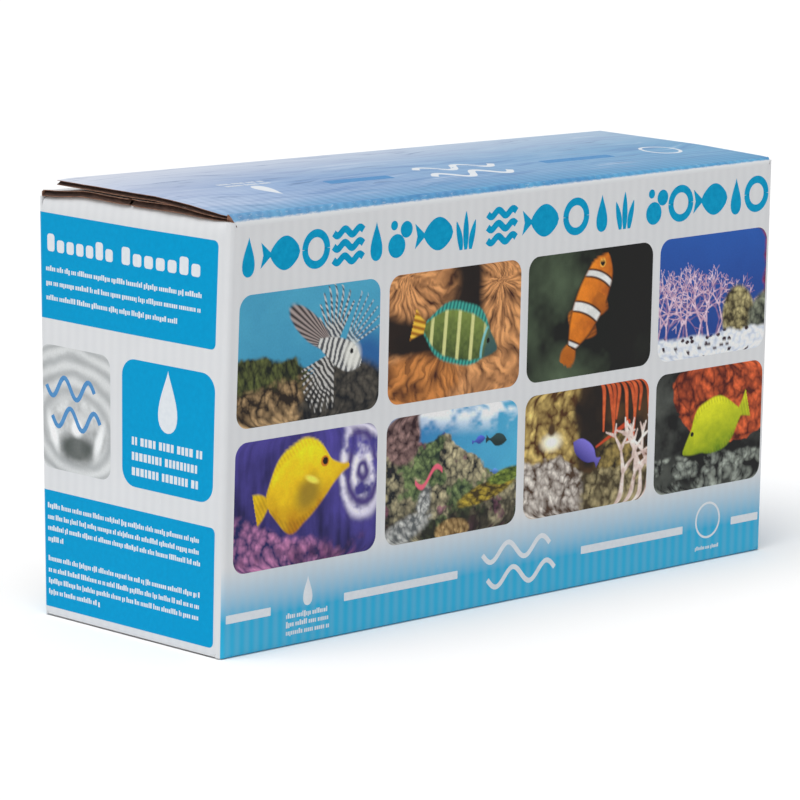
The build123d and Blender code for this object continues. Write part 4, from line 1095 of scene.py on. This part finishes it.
def striped_tang_scene(art, x, y):
    art.lay(tone((10, 7, 8), (36, 22, 16), art.cloud(4, 81)))
    low = -0.1 * x + 0.14 * art.cloud(5, 82)
    strands = (52, 18, 8), (232, 164, 104)
    art.lay(art.tentacles(0.62, 0.52, 86, *strands), ramp(y, 0.36 + low, 0.26 + low))
    art.spot(art.tentacles(0.18, 0.98, 87, *strands), 0.22, 0.98, 0.5, 0.32, -14, 0.22)
    art.spot(art.tentacles(1.22, 0.86, 88, *strands), 1.34, 0.66, 0.3, 0.52, 14, 0.2)
    art.spot(art.tentacles(0.62, 0.52, 89, (60, 24, 10), (206, 132, 66)), 0.3, 0.16, 0.5, 0.2, 0, 0.2)
    fish = Fish(x, y, 0.72, 0.47, 0.96, -16)
    art.lay(tone((150, 92, 18), (240, 190, 62), 0.5 + 0.5 * np.sin(fish.h * 60)),
            fish.outline((-1.0, -0.86, -0.68), (0.26, 0.16, 0.07), (-0.26, -0.16, -0.07)))
    art.lay(tone((10, 84, 86), (66, 176, 158), 0.5 + 0.4 * np.sin(fish.s * 80)),
            fish.outline((-0.72, -0.4, 0.1, 0.6, 0.84), (0.1, 0.44, 0.56, 0.44, 0.14),
                         (-0.1, -0.36, -0.44, -0.34, -0.14)))
    body = fish.outline((-0.72, -0.4, 0.1, 0.6, 0.9, 1.02), (0.07, 0.32, 0.42, 0.33, 0.12, 0.0),
                        (-0.07, -0.29, -0.36, -0.28, -0.15, -0.06))
    skin = tone((34, 54, 28), (124, 142, 66), 0.5 + 0.9 * fish.h + art.drift(0.5, 30, 85))
    bars = ramp(np.sin(fish.s * 20 + fish.h * 4), 0.6, 0.86)
    art.lay(over(skin, (222, 222, 150), bars * ramp(fish.s, -0.66, -0.56) * ramp(fish.s, 0.72, 0.6) * 0.8), body)
    art.lay((34, 78, 92), ramp(fish.s, 0.66, 0.8) * body * 0.75)
    art.lay((120, 200, 210), ramp(np.abs(fish.s - 0.66 - 0.5 * fish.h ** 2), 0.035, 0.015) * body * 0.8)
    art.lay((8, 10, 12), fish.spot(0.78, 0.06, 0.035, 0.045))


def banded_fish_scene(art, x, y):
    art.lay(tone((10, 13, 10), (86, 104, 78), 1.5 * (art.cloud(2.6, 91) - 0.42) + 0.25 * ramp(x, 0.8, 0.1)))
    art.lay((13, 12, 11), ramp(x, 0.8, 1.25) * 0.85)
    fish = Fish(x, y, 0.68, 0.54, 0.98, 60)
    glow = tone((136, 56, 8), (238, 136, 30), 0.62 + 0.8 * fish.h + art.drift(0.6, 12, 92))
    art.lay(glow * 0.62 * (0.8 + 0.2 * np.sin((fish.s + fish.h) * 70))[..., None],
            fish.outline((-0.55, -0.3, 0.02, 0.14, 0.45), (0.08, 0.34, 0.2, 0.3, 0.14),
                         (-0.1, -0.42, -0.24, -0.44, -0.16)))
    art.lay(glow * 0.7, fish.outline((-1.02, -0.88, -0.64), (0.13, 0.17, 0.08), (-0.14, -0.18, -0.08)))
    rim = fish.outline((-0.72, -0.4, 0.0, 0.45, 0.8, 0.99), (0.11, 0.25, 0.34, 0.33, 0.23, 0.05),
                       (-0.12, -0.27, -0.36, -0.35, -0.23, -0.05))
    art.lay((24, 14, 8), 0.9 * rim)
    body = fish.outline((-0.7, -0.4, 0.0, 0.45, 0.8, 0.97), (0.08, 0.22, 0.31, 0.3, 0.2, 0.02),
                        (-0.09, -0.24, -0.33, -0.32, -0.2, -0.02))
    art.lay(glow, body)
    art.lay(glow * 0.75, fish.outline((-0.02, 0.12, 0.34), (-0.1, -0.06, -0.1), (-0.32, -0.42, -0.28)))
    white = tone((196, 198, 196), (238, 238, 234), art.cloud(20, 93))
    for place, width, bend in ((-0.66, 0.03, 0.1), (-0.02, 0.07, 0.5), (0.58, 0.045, 0.6)):
        away = np.abs(fish.s - place + bend * fish.h ** 2 + 0.16 * fish.h)
        art.lay((20, 12, 8), ramp(away, width + 0.05, width + 0.025) * body * 0.9)
        art.lay(white, ramp(away, width + 0.015, width - 0.01) * body)
    art.lay((244, 170, 70), fish.spot(0.78, 0.05, 0.075, 0.07))
    art.lay((12, 8, 8), fish.spot(0.78, 0.05, 0.05, 0.05))


def branch_coral_scene(art, x, y):
    art.lay(tone((16, 44, 118), (36, 92, 178), 0.15 + 0.6 * y + art.drift(0.3, 3, 101)))
    rng = np.random.RandomState(5)
    far = ((0.06, 1.1), (0.3, 1.5), (0.54, 1.7), (0.7, 1.3))
    near = ((-0.02, 1.3), (0.1, 1.6), (0.22, 1.2), (0.36, 1.75), (0.48, 1.35), (0.62, 1.8), (0.7, 1.1))
    dim, lit = art.corals(far, 0.14, 0.16, 0.016, 5, rng), art.corals(near, 0.12, 0.17, 0.015, 5, rng)
    art.lay(tone((84, 62, 110), (164, 130, 176), art.cloud(30, 110)), dim)
    art.lay(tone((150, 92, 132), (246, 222, 234), art.cloud(30, 102)), lit)
    art.spot(art.growth(18, 103, (52, 44, 24), (216, 202, 142)), 0.98, 0.28, 0.2, 0.27, 12, 0.1)
    reds = ramp(x + art.drift(0.1, 7, 105), 1.26, 1.32) * ramp(y, 0.36, 0.44)
    art.lay(art.growth(16, 106, (70, 4, 22), (214, 42, 70)), reds)
    art.spot(art.growth(15, 104, (16, 22, 22), (150, 156, 132)), 1.36, 0.24, 0.26, 0.24, 10, 0.12)
    grains, mark = cells(x, y * 1.5, 17, 108)
    sand = tone((120, 140, 176), (240, 243, 246), 1.15 - 0.8 * grains)
    sand = over(sand, (44, 18, 34), ramp(grains, 0.45, 0.35) * (mark > 0.8))
    art.lay(sand, art.below(0.15 + 0.07 * art.cloud(6, 107)))


def yellow_tang_scene(art, x, y):
    rain = cloud(x * 5, y * 0.8, 4, 110, 3)
    value = 0.2 + 1.1 * (art.cloud(2.6, 111) - 0.42) + 0.5 * (rain - 0.5) + 0.2 * y
    art.lay(tone((26, 22, 70), (86, 76, 168), value))
    swirl = np.hypot(x - 1.34, (y - 0.66) * 0.62)
    rings = 0.5 + 0.5 * np.sin(swirl * 52 + 5 * art.cloud(4, 112))
    patch = ramp(swirl, 0.3, 0.2) * ramp(art.cloud(6, 116), 0.3, 0.55)
    art.lay(tone((70, 56, 120), (232, 228, 244), rings), patch)
    level = 0.35 - 0.34 * x + 0.16 * art.cloud(6, 113)
    art.lay(art.growth(12, 114, (26, 30, 84), (216, 140, 186)), art.below(level, 0.05))
    low = ramp(y, 0.2, 0.05) * ramp(art.cloud(6, 117), 0.45, 0.6) * 0.6
    art.lay(art.growth(14, 118, (26, 20, 50), (150, 84, 130)), low)
    fish = Fish(x, y, 0.7, 0.6, 1.02, 13)
    body = fish.outline((-0.73, -0.45, 0.0, 0.4, 0.7, 0.9, 1.0), (0.06, 0.36, 0.52, 0.5, 0.16, 0.04, 0.02),
                        (-0.09, -0.4, -0.44, -0.32, -0.16, -0.08, -0.06))
    skin = tone((176, 112, 0), (255, 222, 24), 0.55 + 0.7 * fish.h + art.drift(0.5, 10, 115))
    rays = skin * (0.86 + 0.1 * np.sin(fish.s * 90 + fish.h * 30))[..., None]
    art.lay(rays, fish.outline((-0.99, -0.86, -0.7), (0.2, 0.17, 0.06), (-0.3, -0.22, -0.08)))
    art.lay(rays, fish.outline((-0.72, -0.42, -0.05, 0.3, 0.55, 0.68), (0.12, 0.5, 0.66, 0.66, 0.44, 0.16),
                               (-0.16, -0.62, -0.56, -0.4, -0.24, -0.12)))
    art.lay(skin, body)
    art.lay((120, 98, 30), fish.spot(0.1, -0.16, 0.26, 0.2, 30, 0.6) * body * 0.75)
    art.lay((255, 236, 90), fish.spot(0.22, 0.02, 0.14, 0.05, -35, 0.5) * 0.8)
    art.lay((206, 120, 24), fish.spot(0.53, 0.2, 0.085, 0.085))
    art.lay((20, 12, 14), fish.spot(0.54, 0.2, 0.055, 0.06))


def reef_scene(art, x, y):
    art.lay(tone((30, 96, 164), (84, 186, 216), 0.1 + 0.62 * x / 1.5 + art.drift(0.4, 3, 121)))
    art.lay((236, 242, 248), ramp(y + 0.1 * x, 0.84, 1.06) * ramp(cloud(x, y * 1.5, 4, 122), 0.38, 0.58))
    reef = art.growth(15, 124, (22, 26, 30), (214, 202, 160))
    reef = over(reef, art.growth(20, 125, (26, 44, 34), (136, 156, 98)), ramp(art.cloud(4, 126), 0.5, 0.58))
    pink = art.growth(17, 130, (46, 22, 40), (176, 110, 134))
    reef = over(reef, pink, ramp(art.cloud(5, 131), 0.6, 0.66) * 0.8)
    art.lay(reef, art.below(0.8 - 0.42 * ramp(x, 0.55, 1.5) + art.drift(0.16, 6, 123), 0.015))
    art.spot(art.growth(16, 127, (40, 18, 26), (170, 136, 130)), 0.17, 0.84, 0.2, 0.22, 0, 0.12)
    art.lay((26, 22, 20), ramp(y, 0.34, 0.14) * ramp(art.cloud(5, 132), 0.35, 0.5) * 0.85)
    sand = np.maximum(oval(x, y, 0.2, 0.1, 0.3, 0.09, 18, 0.3), oval(x, y, 0.42, 0.3, 0.07, 0.13, -15, 0.3))
    art.lay(art.growth(20, 129, (84, 88, 90), (236, 236, 230)), sand)
    xs = np.clip((x - 0.32) / 0.32, 0, 1)
    eel = np.abs(y - 0.47 + 0.06 * np.sin(xs * 6.5) - 0.05 * xs)
    art.lay((222, 96, 118), ramp(eel, 0.03, 0.012) * (x > 0.32) * (x < 0.62))
    art.spot(art.growth(14, 133, (58, 46, 16), (214, 186, 66), 2), 1.12, 0.3, 0.32, 0.075, 12, 0.15)
    art.spot(art.growth(16, 134, (40, 60, 20), (150, 170, 70), 2), 1.34, 0.4, 0.2, 0.06, 8, 0.2)
    art.spot(art.growth(20, 135, (92, 66, 34), (220, 186, 126)), 0.74, 0.02, 0.2, 0.11, 0, 0.1)
    for colour, *where in (((34, 56, 56), 1.22, 0.7, 0.24, -8), ((66, 84, 176), 1.02, 0.72, 0.15, 8),
                           ((84, 128, 190), 1.2, 0.45, 0.1, -8), ((60, 90, 140), 0.62, 0.82, 0.05, 10)):
        fish = Fish(x, y, *where)
        body = fish.outline((-1, -0.74, 0, 0.7, 1), (0.3, 0.1, 0.42, 0.28, 0.0), (-0.3, -0.1, -0.42, -0.26, -0.02))
        art.lay(linear(colour) * (0.7 + 0.8 * ramp(fish.h, -0.3, 0.4))[..., None], body)


def golden_reef_scene(art, x, y):
    art.lay(tone((26, 16, 10), (122, 84, 40), 1.3 * (art.cloud(4, 131) - 0.35)))
    gold = ramp(x + art.drift(0.2, 5, 137), 0.66, 0.52) * ramp(y, 0.3, 0.42)
    art.lay(art.growth(10, 132, (74, 42, 10), (246, 216, 128)), gold)
    art.spot(art.growth(14, 138, (40, 30, 12), (196, 170, 96)), 1.06, 0.38, 0.22, 0.2, 0, 0.3)
    art.spot((255, 250, 226), 0.31, 0.6, 0.1, 0.06, 0, 0.7)
    art.spot((70, 48, 24), 0.31, 0.7, 0.04, 0.05, 0, 0.4)
    art.spot((20, 12, 8), 0.8, 0.7, 0.17, 0.34, 0, 0.4, 0.85)
    reds = tone((150, 44, 16), (236, 112, 58), art.cloud(20, 133))
    for i in range(9):
        top, low = 0.92 + 0.065 * i, 0.62 + 0.13 * math.sin(i * 2.9)
        art.lay(reds, stroke(x, y, top, 1.02, top + 0.05 * math.sin(i * 1.7), low, 0.026))
    art.lay((190, 66, 30), stroke(x, y, 1.22, 0.66, 0.84, 0.5, 0.024))
    fish = Fish(x, y, 0.72, 0.47, 0.36, -34, -1)
    art.lay(tone((44, 40, 120), (128, 118, 214), 0.5 + fish.h),
            fish.outline((-1, -0.76, -0.4, 0.2, 0.8, 1), (0.26, 0.12, 0.36, 0.46, 0.24, 0.0),
                         (-0.26, -0.12, -0.32, -0.42, -0.24, -0.02)))
    pale = art.growth(15, 135, (70, 50, 36), (244, 236, 226))
    pale = over(pale, art.growth(12, 139, (60, 50, 30), (206, 190, 140)), ramp(x, 0.62, 0.72))
    art.lay(pale, art.below(0.3 + 0.16 * ramp(x, 0.75, 0.4) + art.drift(0.14, 5, 134)))
    roots = ((1.14, 1.45), (1.26, 1.35), (1.38, 1.6), (1.46, 1.5))
    art.lay(tone((150, 100, 84), (250, 238, 230), 1.3 * art.cloud(16, 136)),
            art.corals(roots, 0.02, 0.24, 0.034, 3, np.random.RandomState(11)))


def orange_coral_scene(art, x, y):
    art.lay(tone((10, 11, 12), (84, 88, 82), 1.5 * (art.cloud(5, 141) - 0.45) + 0.4 * ramp(x, 0.3, 0.05)))
    edge = oval(x, y, 0.92, 0.8, 0.7, 0.44, -6, 0.2) + art.drift(0.8, 7, 142, 3)
    art.lay(art.growth(12, 143, (74, 14, 4), (250, 112, 58)), ramp(edge, 0.42, 0.52))
    stones, _ = cells(x, y * 1.3, 5.5, 145)
    pebbles = art.growth(15, 146, (16, 18, 18), (178, 186, 174)) * ramp(stones, 0.75, 0.35)[..., None]
    art.lay(pebbles, art.below(0.28 + art.drift(0.12, 4, 144)) * ramp(stones, 0.62, 0.52))
    fish = Fish(x, y, 0.74, 0.5, 0.86, 16, -1)
    skin = tone((92, 128, 0), (226, 226, 34), 0.5 + 0.9 * fish.h + art.drift(0.4, 14, 147))
    rays = skin * (0.9 + 0.12 * np.sin(fish.s * 80))[..., None]
    art.lay(rays, fish.outline((-1.0, -0.88, -0.7), (0.36, 0.22, 0.07), (-0.2, -0.14, -0.07)))
    art.lay(rays, fish.outline((-0.72, -0.35, 0.1, 0.5, 0.68), (0.1, 0.48, 0.56, 0.42, 0.16),
                               (-0.1, -0.44, -0.5, -0.34, -0.16)))
    art.lay(skin, fish.outline((-0.74, -0.4, 0.0, 0.45, 0.8, 1.0), (0.06, 0.34, 0.46, 0.34, 0.06, -0.14),
                               (-0.08, -0.32, -0.42, -0.36, -0.28, -0.2)))
    art.lay((14, 14, 8), fish.spot(0.66, 0.1, 0.045, 0.045))


def water_drop_scene(art, x, y):
    """Grey water with rings round a splash, for the narrow face."""
    reach = np.hypot(x - 0.42, (y - 0.36) * 1.25)
    rings = 0.5 + 0.5 * np.sin(reach * 40 + 4 * art.cloud(3, 151))
    value = 0.3 + 0.5 * rings * ramp(reach, 0.1, 0.5) + 0.3 * (art.cloud(4, 153) - 0.4)
    art.lay(tone((134, 138, 140), (214, 216, 216), value))
    bowl = tone((84, 88, 90), (226, 228, 228), art.cloud(7, 152) * 1.2 + 0.4 * (y - 0.4))
    art.spot(bowl, 0.42, 0.34, 0.34, 0.26, 0, 0.08, 0.85)
    art.spot((54, 62, 58), 0.42, 0.2, 0.2, 0.11, 0, 0.4, 0.85)
    art.spot((240, 242, 242), 0.42, 0.36, 0.06, 0.06, 0, 0.5, 0.9)
    for cx, tilt in ((0.14, 20), (0.68, -20)):
        art.spot((240, 242, 242), cx, 0.3, 0.04, 0.14, tilt, 0.6, 0.8)


PRINT_LIGHT = 1.15
COLUMNS = ((7.6, 104.8), (111.2, 205.6), (211.2, 305.4), (311.2, 396.4))
ROWS = ((37, 102.4), (109.2, 174))
SCENES = ((spiny_fish_scene, striped_tang_scene, banded_fish_scene, branch_coral_scene),
          (yellow_tang_scene, reef_scene, golden_reef_scene, orange_coral_scene))


def tile(name, place, corners, radius, scene, grain=0.5):
    """A painted picture with round corners, in millimetres from the face's top left corner."""
    x0, _, y0, y1 = corners

    def paint(u, v):
        art = Painting((u - x0) / (y1 - y0), (y1 - v) / (y1 - y0))
        scene(art, art.x, art.y)
        return np.clip(art.light * PRINT_LIGHT, 0, 0.9)

    sheet(name, place, corners, radius, radius, PICTURE, grain, paint)


for side, grain in (("front", 0.5), ("back", 0.8)):
    for row, ys in enumerate(ROWS):
        for column, xs in enumerate(COLUMNS):
            tile(f"{side}_picture_{row + 1}{column + 1}", face(side), (*xs, *ys), 7.5, SCENES[row][column], grain)
for side in ("left", "right"):
    tile(f"{side}_drop_picture", face(side), (0.8, 51.5, 76.5, 139), 6.5, water_drop_scene)
    printed(f"{side}_drop_waves", face(side), wave_mark(5, 40, 97, 10, 2.4), PALE_BLUE, 2)


# Finishes for the unit inside: a slot's material name, its two tones, gloss, grain and depth of grain


UNIT_FINISHES = {
    "white_plastic": ("housing_white", (232, 234, 233), (222, 225, 226), 0.34),
    "clip_plastic": ("clip_white", (214, 216, 212), (204, 206, 204), 0.5),
    "fitting_plastic": ("fitting_white", (226, 227, 224), (214, 216, 214), 0.46),
    "collet_plastic": ("collet_blue", (38, 84, 158), (26, 68, 140), 0.42),
    "lever_plastic": ("lever_blue", (30, 84, 168), (20, 66, 146), 0.4),
    "wrench_plastic": ("tool_blue", (34, 48, 84), (26, 38, 70), 0.55, 260, 0.05),
    "tube_plastic": ("tube_white", (236, 236, 230), (226, 228, 222), 0.3),
    "rubber": ("seal_rubber", (26, 26, 26), (38, 38, 38), 0.7, 700, 0.04),
    "fibre": ("wound_fibre", (240, 239, 232), (220, 219, 210), 0.95, 1500, 0.5),
    "carbon": ("carbon_grains", (18, 18, 19), (40, 40, 42), 0.8, 900, 0.8),
    "membrane_wrap": ("membrane_wrap", (96, 128, 166), (78, 108, 148), 0.45, 300, 0.1),
    "chrome": ("ball_metal", (200, 202, 206), (180, 184, 190), 0.18, 120, 0.01),
    "paper": ("leaflet_paper", (236, 236, 232), (226, 226, 222), 0.8, 900, 0.04),
}
BY_SLOT = {slot: plastic(*settings, Metallic=float(slot == "chrome")) for slot, settings in UNIT_FINISHES.items()}
for entry in frame["record"]["subparts"]:
    material = BY_SLOT.get(entry["material_slot"])
    if material:
        mesh = frame["nodes"][entry["node"]].data
        mesh.materials.clear()
        mesh.materials.append(material)


# Floor, light and camera


def place_object(name, data):
    made = bpy.data.objects.new(name, data)
    bpy.context.scene.collection.objects.link(made)
    return made


def floor(size=6.0):
    mesh = bpy.data.meshes.new("floor")
    corners = [(-size, -size, 0), (size, -size, 0), (size, size, 0), (-size, size, 0)]
    mesh.from_pydata(corners, [], [(0, 1, 2, 3)])
    finish = Finish("floor_white", roughness=0.9)
    finish.colour(finish.mix(finish.noise(finish.place(), 3, 2), shade((247, 247, 247)), shade((252, 252, 252))))
    mesh.materials.append(finish.material)
    place_object("floor", mesh)


def soft_light(name, towards, strength, spread):
    """A very wide far light, as from a large softbox: towards points from the carton to it."""
    data = bpy.data.lights.new(name, "SUN")
    data.energy = strength
    data.angle = math.radians(spread)
    place_object(name, data).rotation_euler = (-Vector(towards)).to_track_quat("-Z", "Y").to_euler()


def camera(place, aim, roll, lens):
    data = bpy.data.cameras.new("camera")
    data.sensor_width = 36
    data.lens = lens
    data.clip_start = 0.05
    turn = (aim - place).to_track_quat("-Z", "Y").to_matrix() @ Matrix.Rotation(math.radians(roll), 3, "Z")
    made = place_object("camera", data)
    made.matrix_world = Matrix.Translation(place) @ turn.to_4x4()
    bpy.context.scene.camera = made


floor()
soft_light("key", (-0.34, -0.06, 0.94), 2.3, 50)
world = bpy.data.worlds.new("studio")
world.use_nodes = True
world.node_tree.nodes["Background"].inputs["Color"].default_value = (1, 1, 1, 1)
world.node_tree.nodes["Background"].inputs["Strength"].default_value = 0.45
bpy.context.scene.world = world
bpy.context.scene.view_settings.view_transform = "Standard"
camera(Vector((-1.7237, -1.7055, 0.5392)), Vector((-0.0078, 0.0065, 0.0962)), 1.19, 213.1)
